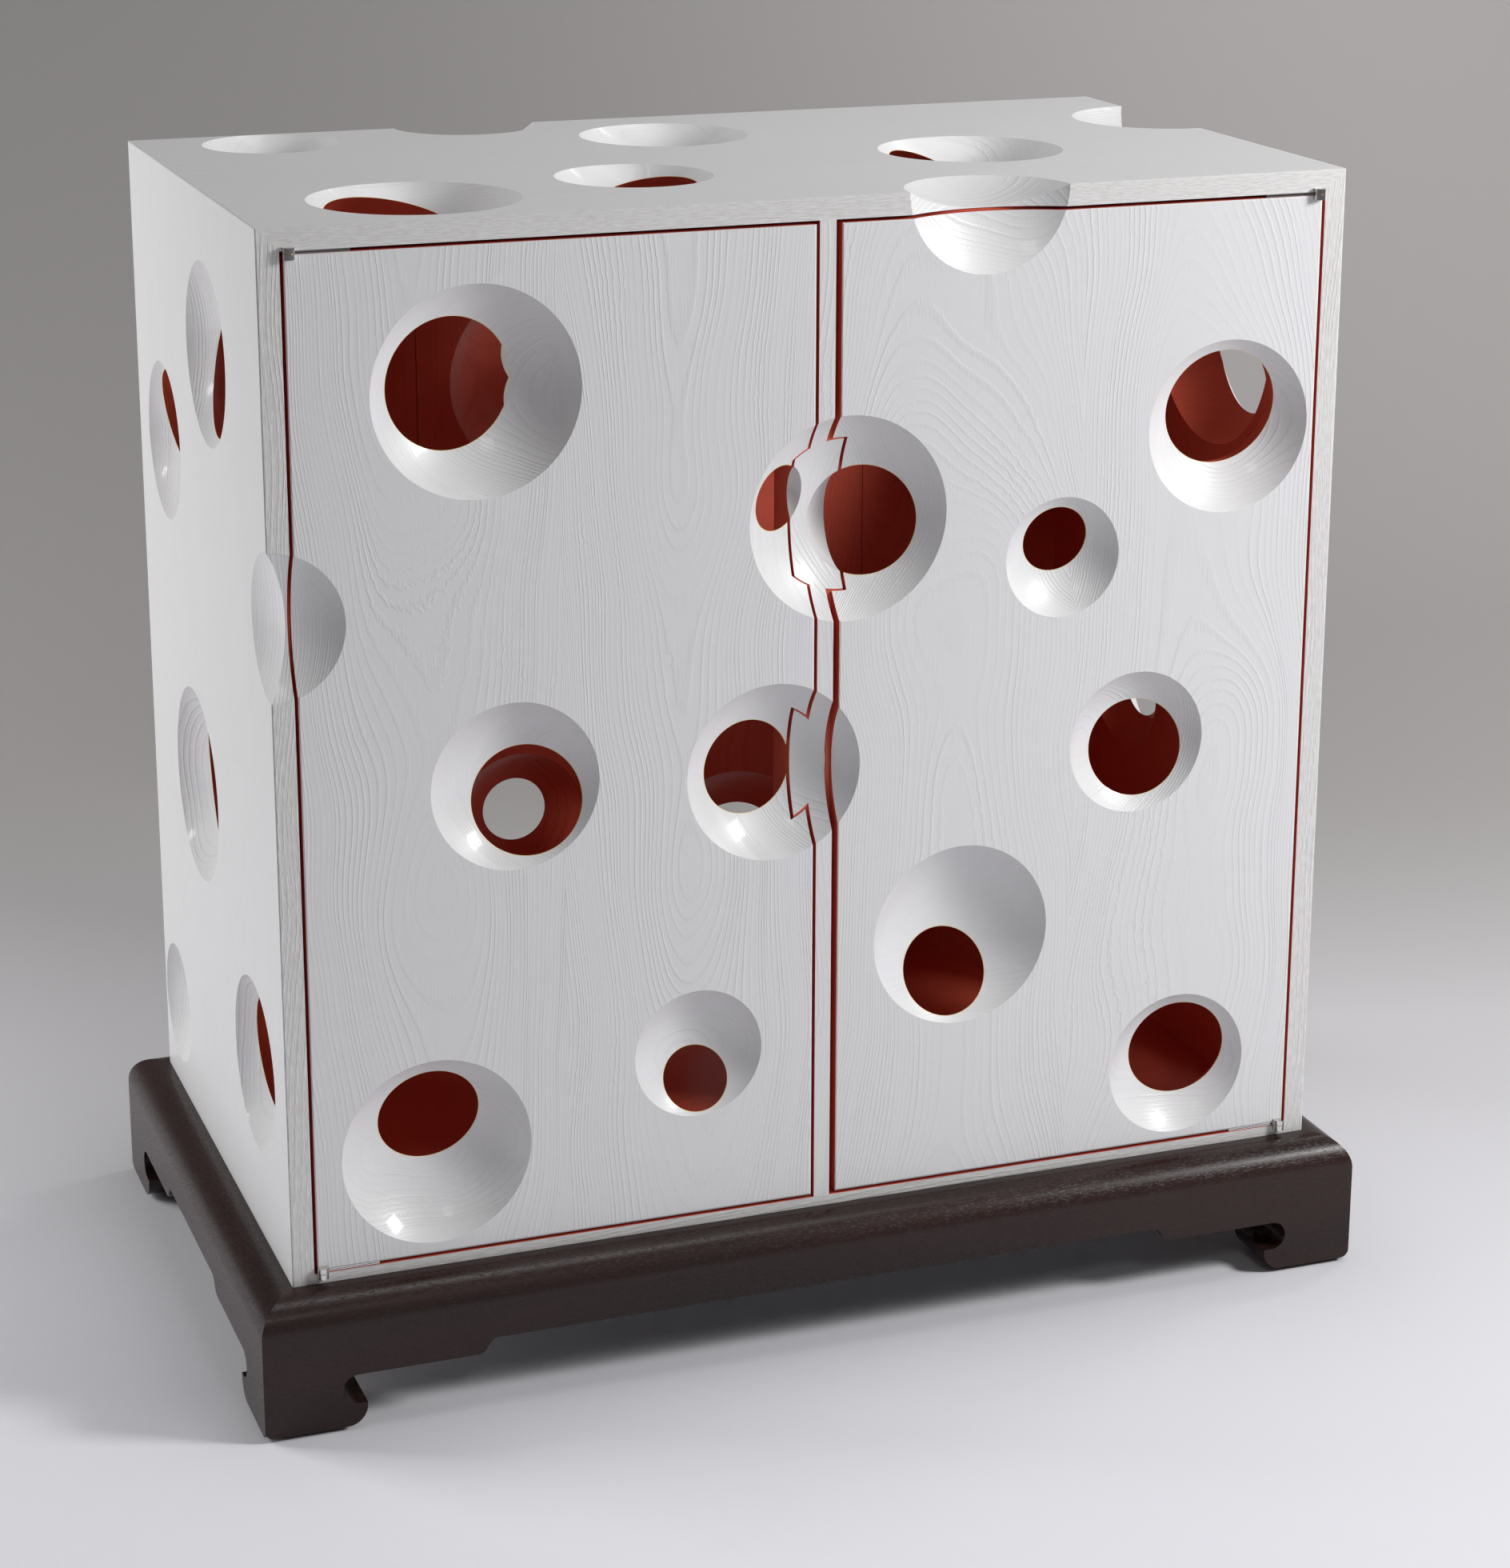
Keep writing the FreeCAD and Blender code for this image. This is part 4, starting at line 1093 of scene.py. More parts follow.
@dataclass
class Board:
    """A board of the box or a door: its blank, its balls and its two lacquers."""

    name: str
    body: str
    timber: Timber
    balls: list[Ball]
    low: Triple = (LEFT, FRONT, BOX_LOW)
    high: Triple = (RIGHT, BACK, BOX_TOP)
    coarse_edge: bool = False

    def dress(self, piece: bpy.types.Object, tree: ScoopTree) -> None:
        """Hollow a blank, tell its white faces from its red ones and put it in place of its node.

        Args:
            piece: the blank.
            tree: the nodes that press the balls in.
        """
        box = (self.low, self.high)
        white = WhiteLacquer(self.name + "_white", self.timber, *box, self.coarse_edge).material()
        red = RedLacquer(self.name + "_red", self.timber).material()
        tree.hollow(piece, self.balls, white)
        mesh = piece.data
        mesh.materials.clear()
        mesh.materials.append(white)
        mesh.materials.append(red)
        self.paint(mesh)
        shade_smooth(mesh)
        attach(piece, self.body)
        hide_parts(self.name)
        log.info("%s: %d faces", self.name, len(mesh.polygons))

    def paint(self, mesh: bpy.types.Mesh) -> None:
        """Give each face its lacquer, and each point its distance from the nearest rim of a hole.

        Args:
            mesh: the hollowed board's mesh.
        """
        centres, normals = vectors(mesh.polygons, "center"), vectors(mesh.polygons, "normal")
        coats = np.full(len(centres), Coat.RED.value)
        for axis, planes in enumerate(((LEFT, RIGHT), (FRONT, BACK), (BOX_LOW, BOX_TOP))):
            for plane, way in zip(planes, (-1, 1)):
                near = np.abs(centres[:, axis] - plane) < ON_SURFACE
                coats[near & (normals[:, axis] * way > FACING)] = Coat.WHITE.value
        for ball in self.balls:
            toward = np.array(ball.centre) - centres
            distance = np.linalg.norm(toward, axis=1)
            facing = (toward * normals).sum(axis=1) / distance
            coats[(np.abs(distance - ball.radius) < ON_SURFACE) & (facing > FACING)] = ball.coat.value
        mesh.polygons.foreach_set("material_index", coats.astype(np.int32))
        points = vectors(mesh.vertices, "co")
        gap = np.full(len(points), 1.0)
        on_white = np.zeros(len(points), bool)
        for ball in self.balls:
            off = np.linalg.norm(points - np.array(ball.centre), axis=1) - ball.radius
            if ball.coat is Coat.WHITE:
                on_white |= np.abs(off) < ON_SURFACE
            else:
                gap = np.minimum(gap, np.maximum(off, 0.0))
        gap[~on_white] = 1.0
        set_values(mesh, "rim_gap", gap)


# Hinges.
@dataclass(frozen=True)
class Hinge:
    """A knife hinge at one end of one door: its leaves, their recesses and their screws."""

    side: int
    end: int
    inset: float = 0.026
    reach: float = 0.0025
    leaf_length: float = 0.050
    leaf_width: float = 0.0125
    leaf_thickness: float = 0.0024
    setback: float = 0.001
    tail: float = 0.004
    half_washer: float = 0.00025
    knuckle_radius: float = 0.005
    knuckle_height: float = 0.0046
    clearance: float = 0.0003
    screw_shares: Pair = (0.45, 0.82)

    @property
    def pivot(self) -> Pair:
        """The pin's place in plan."""
        return self.side * (WIDTH / 2 - self.inset), FRONT - self.reach

    def points_up(self, on_door: bool) -> bool:
        """Whether that leaf lies above the gap's middle."""
        return on_door == (self.end < 0)

    def levels(self, on_door: bool, height: float) -> Pair:
        """Where a leaf or a knuckle lies.

        Args:
            on_door: whether it is the door's.
            height: its height.

        Returns:
            Its lowest and its highest level.
        """
        lip = BOX_TOP - LIP if self.end > 0 else BOX_LOW + LIP
        middle = lip - self.end * REVEAL / 2
        if self.points_up(on_door):
            return middle + self.half_washer, middle + self.half_washer + height
        return middle - self.half_washer - height, middle - self.half_washer

    def recess(self, on_door: bool) -> list[bpy.types.Object]:
        """Cutters for the recess that a leaf lies in.

        Args:
            on_door: whether it is the door's.

        Returns:
            The solids to cut away.
        """
        low, high = self.levels(on_door, self.leaf_thickness)
        knuckle_low, knuckle_high = self.levels(on_door, self.knuckle_height)
        if self.points_up(on_door):
            low -= REVEAL
            knuckle_low -= REVEAL
        else:
            high += REVEAL
            knuckle_high += REVEAL
        x, y = self.pivot
        half_neck = self.tail + self.clearance
        ends = sorted((x + self.side * half_neck, x - self.side * (self.leaf_length + self.clearance)))
        front = FRONT + self.setback - self.clearance
        back = FRONT + self.setback + self.leaf_width + self.clearance
        label = f"recess_{self.side}_{self.end}_{on_door}"
        return [
            brick(label + "_plate", (ends[0], front, low), (ends[1], back, high)),
            brick(label + "_neck", (x - half_neck, y - OVERRUN, low), (x + half_neck, back, high)),
            rod(
                label + "_knuckle",
                (x, y, knuckle_low),
                self.knuckle_radius + self.clearance,
                knuckle_high - knuckle_low,
            ),
        ]

    def screws(self, on_door: bool) -> list[tuple[Triple, bool]]:
        """Where a leaf's screws sit.

        Args:
            on_door: whether it is the door's leaf.

        Returns:
            For each screw, its head's place and whether it points up.
        """
        low, high = self.levels(on_door, self.leaf_thickness)
        up = self.points_up(on_door)
        y = FRONT + self.setback + self.leaf_width / 2
        return [
            ((self.pivot[0] - self.side * self.leaf_length * share, y, low if up else high), up)
            for share in self.screw_shares
        ]


HINGES = [Hinge(side, end) for side in (-1, 1) for end in (-1, 1)]


@dataclass
class Screw:
    """A cross-head screw, made once and set in place by geometry nodes."""

    name: str
    profile: Sequence[Pair]
    recess_length: float
    recess_width: float
    recess_depth: float
    sides: int = 32

    def model(self) -> bpy.types.Object:
        """Make one screw.

        Returns:
            The screw with its head at the origin and its point towards +Z.
        """
        rings = [[(x, y, level) for x, y in circle(radius, self.sides)] for radius, level in self.profile]
        made = skin(self.name, rings)
        long, thin, deep = self.recess_length / 2, self.recess_width / 2, self.recess_depth
        slots = [
            brick(self.name + "_slot_a", (-long, -thin, -deep), (long, thin, deep)),
            brick(self.name + "_slot_b", (-thin, -long, -deep), (thin, long, deep)),
        ]
        combine(made, slots, "DIFFERENCE")
        shade_smooth(made.data)
        return made


class ScrewTree(GeometryTree):
    """Geometry nodes that drive a screw in at every point, each turned by its own amount."""

    name = "screws"
    kinds = {"Places": "Geometry", "Screw": "Object", "Steel": "Material", "Seed": "Int"}

    def build(self) -> None:
        """Lay out the nodes."""
        given = self.node("NodeGroupInput", {}, {})
        amount = {"Max": math.pi, "Seed": given["Seed"]}
        spins = self.node("FunctionNodeRandomValue", {"data_type": "FLOAT"}, amount)
        spin = next(socket for socket in spins if socket.enabled)
        turn = self.node("ShaderNodeCombineXYZ", {}, {0: self.stored("flip"), 2: spin})[0]
        sockets = {"Points": given["Places"], "Instance": self.shape(given["Screw"]), "Rotation": turn}
        self.finish(self.node("GeometryNodeInstanceOnPoints", {}, sockets)[0], given["Steel"])

    def drive(
        self,
        name: str,
        node: str,
        body: str,
        model: bpy.types.Object,
        places: Sequence[tuple[Triple, bool]],
        steel: bpy.types.Material,
    ) -> None:
        """Set screws in place as one plain mesh.

        Args:
            name: the piece's name.
            node: the node that it stands for.
            body: the body that it rides on.
            model: one screw at the origin.
            places: each head's place and whether the screw points up.
            steel: the screws' material.
        """
        mesh = bpy.data.meshes.new(name)
        mesh.from_pydata([place for place, up in places], [], [])
        set_values(mesh, "flip", [0.0 if up else math.pi for place, up in places])
        piece = mesh_object(name, mesh)
        self.run(piece, {"Screw": model, "Steel": steel, "Seed": len(places)})
        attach(piece, body)
        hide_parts(node)
        log.info("%s: %d screws", name, len(places))


@dataclass
class Ironmongery:
    """Hinge leaves, pins, washers, screws and the catches."""

    steel: Metal = Metal("hinge_steel_brushed", (0.74, 0.73, 0.71), 0.14)
    brass: Metal = Metal("washer_brass_turned", (0.72, 0.52, 0.22), 0.30)
    nickel: Metal = Metal("magnet_nickel_plate", (0.66, 0.64, 0.60), 0.14, (300.0, 60.0, 300.0))
    zinc: Metal = Metal("strike_zinc_plate", (0.62, 0.63, 0.65), 0.36, (300.0, 60.0, 300.0))
    hinge_screw: Screw = field(
        default_factory=lambda: Screw(
            "hinge_screw",
            ((0.0030, 0.0), (0.0030, 0.0002), (0.0015, 0.0024), (0.0015, 0.0125), (0.0004, 0.0150)),
            recess_length=0.0032,
            recess_width=0.0006,
            recess_depth=0.0012,
        )
    )
    stand_screw: Screw = field(
        default_factory=lambda: Screw(
            "stand_screw",
            (
                (0.0040, 0.0),
                (0.0050, 0.0006),
                (0.0050, 0.0025),
                (0.0025, 0.0025),
                (0.0025, 0.0930),
                (0.0006, 0.0975),
            ),
            recess_length=0.0056,
            recess_width=0.0011,
            recess_depth=0.0016,
        )
    )
    stand_screw_place: Triple = (0.4375, 0.2200, 0.0405)

    def dress(self, nodes: dict[str, bpy.types.Object]) -> None:
        """Give the metal nodes their materials and drive the screws.

        Args:
            nodes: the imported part's nodes by name.
        """
        steel = self.steel.material()
        finishes = {
            "leaf": steel,
            "hinge_pins": steel,
            "hinge_washers": self.brass.material(),
            "catch_magnets": self.nickel.material(),
            "strike_discs": self.zinc.material(),
        }
        for name, node in nodes.items():
            for ending, material in finishes.items():
                if name.endswith(ending):
                    set_material(node, material)
        tree = ScrewTree()
        model = self.hinge_screw.model()
        case = [place for hinge in HINGES for place in hinge.screws(False)]
        tree.drive("case_screws", "case_hinge_screws", "root", model, case, steel)
        for side, body in ((-1, "left_door"), (1, "right_door")):
            places = [place for hinge in HINGES if hinge.side == side for place in hinge.screws(True)]
            tree.drive(body + "_screws", body + "_hinge_screws", body, model, places, steel)
        long_model = self.stand_screw.model()
        x, y, z = self.stand_screw_place
        corners = [((x * side, y * end, z), True) for side in (-1, 1) for end in (-1, 1)]
        tree.drive("stand_long_screws", "stand_screws", "root", long_model, corners, steel)
        bpy.data.objects.remove(model)
        bpy.data.objects.remove(long_model)


# The box and the doors.
@dataclass
class Magnets:
    """Where the round magnets sit in the post's shoulders, and the discs in the doors' lips."""

    radius: float = 0.00405
    magnet_depth: float = 0.005
    strike_depth: float = 0.003
    offset: float = 0.01675
    level_shares: Pair = (0.080, 0.920)

    def bores(self, name: str, side: int, on_door: bool) -> list[bpy.types.Object]:
        """Cutters for the round holes on one side.

        Args:
            name: the start of the cutters' names.
            side: -1 for the left, 1 for the right.
            on_door: whether they are the door's.

        Returns:
            The solids to cut away.
        """
        depth = self.strike_depth if on_door else self.magnet_depth
        start = FRONT + DOOR_LIP - self.strike_depth if on_door else FRONT + REBATE - OVERRUN
        length = depth + OVERRUN
        return [
            rod(
                f"{name}_bore_{number}",
                (side * self.offset, start, RIM_LEVEL + SEEN_HEIGHT * share),
                self.radius,
                length,
                axis=1,
            )
            for number, share in enumerate(self.level_shares)
        ]


@dataclass
class Case:
    """The box: four mitred boards, the post between the doors and the three back boards."""

    tree: ScoopTree
    magnets: Magnets
    post_right_lip: float = 0.0060
    post_depth: float = 0.070
    seam_shares: Pair = (0.2640, 0.7360)

    def rebate(self) -> bpy.types.Object:
        """The cutter of the recess that the doors close into."""
        low = (LEFT + LIP, FRONT - OVERRUN, BOX_LOW + LIP)
        return brick("rebate", low, (RIGHT - LIP, FRONT + REBATE, BOX_TOP - LIP))

    def mitred(self, name: str, number: int) -> bpy.types.Object:
        """One of the four boards round the box, cut at 45 degrees at both ends.

        Args:
            name: the object's name.
            number: which board: left, top, right or bottom.

        Returns:
            The blank.
        """
        outer = ((LEFT, BOX_LOW), (LEFT, BOX_TOP), (RIGHT, BOX_TOP), (RIGHT, BOX_LOW))
        inner = (
            (LEFT + BOARD, BOX_LOW + BOARD),
            (LEFT + BOARD, BOX_TOP - BOARD),
            (RIGHT - BOARD, BOX_TOP - BOARD),
            (RIGHT - BOARD, BOX_LOW + BOARD),
        )
        following = (number + 1) % 4
        outline = (outer[number], outer[following], inner[following], inner[number])
        return prism(name, outline, FRONT, BACK, 1)

    def build(self) -> None:
        """Build every board of the box."""
        upright, along = Grain.UPRIGHT, Grain.ALONG_WIDTH
        left = Timber(upright, 1, across=0.02, heart=LEFT + 0.11, tilt=0.03, ring=0.0040, seed=3.0)
        top = Timber(along, 1, across=-0.05, heart=BOX_TOP - 0.10, tilt=0.03, ring=0.0042, seed=5.0)
        right = Timber(upright, 1, across=-0.03, heart=RIGHT - 0.12, tilt=0.04, ring=0.0040, seed=7.0)
        bottom = Timber(along, 1, across=0.04, heart=BOX_LOW + 0.12, tilt=0.03, ring=0.0042, seed=9.0)
        left_balls = face_balls(LEFT_FACE, LEFT_SCOOPS) + FRONT_LEFT_EDGE
        top_balls = face_balls(TOP_FACE, TOP_SCOOPS) + FRONT_TOP_EDGE + BACK_TOP_EDGE + RIGHT_TOP_EDGE
        right_balls = face_balls(RIGHT_FACE, RIGHT_SCOOPS) + RIGHT_TOP_EDGE
        plans = (
            ("left_side", left, left_balls, 0),
            ("top_panel", top, top_balls, 1),
            ("right_side", right, right_balls, 0),
            ("bottom_panel", bottom, [], -1),
        )
        for number, (name, timber, balls, hinge_end) in enumerate(plans):
            piece = self.mitred(name + "_board", number)
            cutters = [self.rebate()]
            for hinge in HINGES:
                if hinge.end == hinge_end:
                    cutters += hinge.recess(False)
            combine(piece, cutters, "DIFFERENCE")
            Board(name, "root", timber, balls, coarse_edge=True).dress(piece, self.tree)
        self.build_back()
        self.build_post()

    def build_back(self) -> None:
        """Build the three back boards, a seam's width apart."""
        seams = [LEFT + WIDTH * share for share in self.seam_shares]
        spans = (
            ("back_board_left", LEFT + BOARD, seams[0] - SEAM / 2, BACK_LEFT_SCOOPS, 11.0),
            ("back_board_middle", seams[0] + SEAM / 2, seams[1] - SEAM / 2, BACK_MIDDLE_SCOOPS, 13.0),
            ("back_board_right", seams[1] + SEAM / 2, RIGHT - BOARD, BACK_RIGHT_SCOOPS, 17.0),
        )
        for name, start, stop, scoops, seed in spans:
            low, high = (start, BACK - BOARD, BOX_LOW + BOARD), (stop, BACK, BOX_TOP - BOARD)
            piece = brick(name + "_board", low, high)
            middle = (start + stop) / 2
            timber = Timber(
                Grain.UPRIGHT, 0, across=middle + 0.02, heart=BACK - 0.13, tilt=0.04, ring=0.0042, seed=seed
            )
            balls = face_balls(BACK_FACE, scoops) + BACK_TOP_EDGE
            Board(name, "root", timber, balls).dress(piece, self.tree)

    def build_post(self) -> None:
        """Build the post, a narrow lip in front of a wider core."""
        half, lip = POST_HALF_WIDTH, POST_HALF_LIP
        low, high = BOX_LOW + LIP, BOX_TOP - LIP
        shoulder, back = FRONT + REBATE, FRONT + self.post_depth
        wide, beyond = half + OVERRUN, back + OVERRUN
        front, below, above = FRONT - OVERRUN, low - OVERRUN, high + OVERRUN
        piece = brick("post_board", (-half, FRONT, low), (half, back, high))
        cutters = [
            brick("post_left", (-wide, front, below), (-lip, shoulder, above)),
            brick("post_right", (self.post_right_lip, front, below), (wide, shoulder, above)),
            brick("post_low", (-wide, shoulder, below), (wide, beyond, BOX_LOW + BOARD)),
            brick("post_high", (-wide, shoulder, BOX_TOP - BOARD), (wide, beyond, above)),
        ]
        for side in (-1, 1):
            cutters += self.magnets.bores(f"post_{side}", side, False)
        combine(piece, cutters, "DIFFERENCE")
        balls = face_balls(FRONT_FACE, (CENTRE_HIGH_POST, CENTRE_LOW_RIM))
        timber = Timber(
            Grain.UPRIGHT, 0, across=0.06, heart=FRONT - 0.10, tilt=0.01, ring=0.0036, seed=19.0
        )
        Board("centre_post", "root", timber, balls).dress(piece, self.tree)


@dataclass
class Doors:
    """The two doors: a thin front layer that laps the rebate and a thicker core behind it."""

    tree: ScoopTree
    magnets: Magnets
    thickness: float = 0.042
    heart_depth: float = 0.13
    ring: float = 0.0022

    def build(self) -> None:
        """Build both doors."""
        left_scoops = (UPPER_LEFT, SMALL_LEFT, LOWER_LEFT, MIDDLE_LEFT, CENTRE_LOW, CENTRE_HIGH_LEFT)
        right_scoops = (UPPER_RIGHT, SMALL_RIGHT, MIDDLE_RIGHT, LOWER_MIDDLE, LOWER_RIGHT, CENTRE_HIGH_RIGHT)
        left_balls = face_balls(FRONT_FACE, left_scoops) + FRONT_LEFT_EDGE
        right_balls = face_balls(FRONT_FACE, right_scoops + (CENTRE_LOW_RIM,)) + FRONT_TOP_EDGE
        heart = FRONT - self.heart_depth
        upright = Grain.UPRIGHT
        left = Timber(upright, 0, across=-0.458, heart=heart, tilt=0.05, ring=self.ring, seed=1.0)
        right = Timber(upright, 0, across=0.0115, heart=heart, tilt=-0.05, ring=self.ring, seed=2.0)
        self.door("left_door", -1, left_balls, left)
        self.door("right_door", 1, right_balls, right)

    def door(self, name: str, side: int, balls: list[Ball], timber: Timber) -> None:
        """Build a door.

        Args:
            name: its node and its body.
            side: -1 for the left door, 1 for the right one.
            balls: the balls that hollow it.
            timber: how its wood was sawn.
        """
        ends = sorted((side * (POST_HALF_LIP + REVEAL), side * (WIDTH / 2 - LIP - REVEAL)))
        core_ends = sorted((side * (POST_HALF_WIDTH + REVEAL), side * (WIDTH / 2 - BOARD - REVEAL)))
        low, high = BOX_LOW + LIP + REVEAL, BOX_TOP - LIP - REVEAL
        core_low, core_high = BOX_LOW + BOARD + REVEAL, BOX_TOP - BOARD - REVEAL
        lap, behind = FRONT + DOOR_LIP, FRONT + self.thickness
        piece = brick(name + "_board", (ends[0], FRONT, low), (ends[1], lap, high))
        core = brick(
            name + "_core", (core_ends[0], lap - OVERRUN, core_low), (core_ends[1], behind, core_high)
        )
        combine(piece, [core], "UNION")
        cutters = self.magnets.bores(name, side, True)
        for hinge in HINGES:
            if hinge.side == side:
                cutters += hinge.recess(True)
        combine(piece, cutters, "DIFFERENCE")
        box = (ends[0], FRONT, low), (ends[1], BACK, high)
        Board(name, name, timber, balls, *box).dress(piece, self.tree)


# The stand.
class Path:
    """An outline drawn with straight runs and rounded corners."""

    def __init__(self) -> None:
        """Start with no points."""
        self.points: list[Pair] = []

    def to(self, *places: Pair) -> "Path":
        """Straight on to each place."""
        self.points += places
        return self

    def arc(self, centre: Pair, radius: float, start: float, stop: float, steps: int = 14) -> "Path":
        """Round an arc.

        Args:
            centre: its centre.
            radius: its radius.
            start: the angle where it starts, in degrees.
            stop: the angle where it ends.
            steps: how many straight pieces it is drawn with.

        Returns:
            The outline itself.
        """
        for number in range(steps + 1):
            turn = math.radians(start + (stop - start) * number / steps)
            self.points.append((centre[0] + radius * math.cos(turn), centre[1] + radius * math.sin(turn)))
        return self

    def corner(self, before: Vector, at: Vector, after: Vector, radius: float, steps: int = 10) -> "Path":
        """Round the corner between two straight runs.

        Args:
            before: a place on the run that comes in.
            at: where the runs would meet.
            after: a place on the run that goes out.
            radius: the corner's radius.
            steps: how many straight pieces it is drawn with.

        Returns:
            The outline itself.
        """
        first, second = (before - at).normalized(), (after - at).normalized()
        angle = first.angle(second)
        centre = at + (first + second).normalized() * radius / math.sin(angle / 2)
        start = at + first * radius / math.tan(angle / 2) - centre
        stop = at + second * radius / math.tan(angle / 2) - centre
        for number in range(steps + 1):
            spoke = start.slerp(stop, number / steps) * radius
            self.points.append(tuple(centre + spoke))
        return self


@dataclass
class Stand:
    """The low stand: four mitred rails with bracket feet, its corner blocks and its pads."""

    overhang: float = 0.0355
    pad_height: float = 0.004
    height: float = 0.119
    thickness: float = 0.058
    moulding: float = 0.029
    foot_length: float = 0.089
    toe_height: float = 0.0205
    toe_round: float = 0.018
    foot_round: float = 0.008
    notch_radius: float = 0.01325
    neck_length: float = 0.068
    apron_length: float = 0.1915
    apron_slope: float = 0.0085
    apron_rise: float = 0.0135
    apron_round: float = 0.0095
    seat_clearance: float = 0.0003

    def underside(self, half: float) -> list[Pair]:
        """The elevation of a rail: feet, toes, notches and stepped apron.

        Args:
            half: half the rail's length.

        Returns:
            The outline, anticlockwise, in length and level above the pads.
        """
        apron = self.toe_height + 2 * self.notch_radius
        rise = apron + self.apron_rise
        step, step_end = half - self.apron_length, half - self.apron_length - self.apron_slope
        toe, neck = half - self.foot_length, half - self.neck_length - self.notch_radius
        path = Path()
        path.corner(Vector((0.0, rise)), Vector((step_end, rise)), Vector((step, apron)), self.apron_round)
        path.corner(Vector((step_end, rise)), Vector((step, apron)), Vector((neck, apron)), self.apron_round)
        path.arc((neck, self.toe_height + self.notch_radius), self.notch_radius, 90.0, -90.0, steps=20)
        path.to((toe, self.toe_height))
        path.arc((toe + self.toe_round, self.toe_round), self.toe_round, 180.0, 270.0)
        path.arc((half - self.foot_round, self.foot_round), self.foot_round, 270.0, 360.0, steps=8)
        path.to((half, self.height + OVERRUN))
        right = path.points
        left = [(-x, z) for x, z in reversed(right)]
        return right + left

    def section(self) -> list[Pair]:
        """The rail's cross-section.

        Returns:
            The outline, in depth from the rail's outer face and level above the pads.
        """
        path = Path().to((0.0, -OVERRUN))
        path.to((self.thickness, -OVERRUN), (self.thickness, self.height - SEAT_DEPTH))
        seat = self.overhang - self.seat_clearance
        path.to((seat, self.height - SEAT_DEPTH), (seat, self.height))
        path.arc((self.moulding, self.height - self.moulding), self.moulding, 90.0, 180.0, steps=24)
        return path.points

    def bar(self, name: str, half: float) -> bpy.types.Object:
        """The rail's section drawn out and mitred at both ends.

        Args:
            name: the object's name.
            half: half the rail's length.

        Returns:
            The bar, along X with its outer face towards -Y.
        """
        section = self.section()
        rings = [[(way * (half - depth), depth, level) for depth, level in section] for way in (-1, 1)]
        return skin(name, rings)

    def build(self, nodes: dict[str, bpy.types.Object]) -> None:
        """Build the four rails and dress the blocks and the pads.

        Args:
            nodes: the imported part's nodes by name.
        """
        half_x, half_y = WIDTH / 2 + self.overhang, DEPTH / 2 + self.overhang
        plans = (
            ("stand_front_rail", half_x, 0.0, (0.0, -half_y), Grain.ALONG_WIDTH),
            ("stand_back_rail", half_x, 180.0, (0.0, half_y), Grain.ALONG_WIDTH),
            ("stand_left_rail", half_y, -90.0, (-half_x, 0.0), Grain.ALONG_DEPTH),
            ("stand_right_rail", half_y, 90.0, (half_x, 0.0), Grain.ALONG_DEPTH),
        )
        for name, half, turn, (x, y), grain in plans:
            piece = self.bar(name + "_bar", half)
            shape = prism(name + "_shape", self.underside(half), -OVERRUN, self.thickness + OVERRUN, 1)
            combine(piece, [shape], "INTERSECT")
            spot = Matrix.Translation((x, y, self.pad_height)) @ Matrix.Rotation(math.radians(turn), 4, "Z")
            piece.data.transform(spot)
            set_material(piece, DarkLacquer(name + "_lacquer", grain).material())
            shade_smooth(piece.data)
            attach(piece, "root")
            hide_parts(name)
            log.info("%s: %d faces", name, len(piece.data.polygons))
        wood = BareWood("corner_block_wood").material()
        rubber = Rubber("pad_rubber_black").material()
        for name, node in nodes.items():
            if name.startswith("corner_block"):
                set_material(node, wood)
            elif name.startswith("foot_pad"):
                set_material(node, rubber)


# The studio.
@dataclass
class Lamp:
    """A soft square lamp that faces a point, and may be kept out of reflections."""

    name: str
    place: Triple
    target: Triple
    size: float
    power: float
    mirrored: bool = True

    def light(self) -> None:
        """Hang the lamp."""
        data = bpy.data.lights.new(self.name, "AREA")
        data.shape = "SQUARE"
        data.size = self.size
        data.energy = self.power
        lamp = bpy.data.objects.new(self.name, data)
        lamp.visible_glossy = self.mirrored
        bpy.context.scene.collection.objects.link(lamp)
        lamp.location = self.place
        aim = Vector(self.target) - Vector(self.place)
        lamp.rotation_euler = aim.to_track_quat("-Z", "Y").to_euler()


@dataclass(frozen=True)
class Paper(Finish):
    """Matt paper with the lamps' falloff painted in: pale on the floor, grey on the wall, and painted
    lighter towards the right where the key lamp spills.
    """

    # Painted light: one paper, its tones painted pale on the floor, darker up the wall and lighter to the
    # right where the key lamp spills.
    floor: Colour = (0.82, 0.815, 0.86)
    wall: Colour = (0.365, 0.350, 0.345)
    wall_painted_lit_right: Colour = (0.60, 0.575, 0.570)
    fibre: Colour = (0.5, 0.5, 0.5)

    def feeds(self, shade: Shade) -> Feeds:
        """Painted shade from the pale floor tone into the grey wall tone, painted lighter to the right, with
        a trace of fibre.

        Args:
            shade: the material's nodes.

        Returns:
            A value or a wire for each input of the main shader, by name.
        """
        spot, x, y, z = shade.place()
        # Painted shade: the paper darkens from the floor up the wall, the change coming sooner towards the
        # right, and the wall is painted lighter to the right where the key lamp spills.
        share = (x * 0.35 + y + z).smooth(-0.7, 1.5)
        wall = shade.blend(x.smooth(0.0, 3.0), self.wall, self.wall_painted_lit_right)
        fibres = shade.noise(spot, scale=40.0, detail=3.0)
        return {
            "Base Color": shade.blend(fibres * 0.04, shade.blend(share, self.floor, wall), self.fibre),
            "Roughness": 0.9,
            "Specular IOR Level": 0.2,
        }


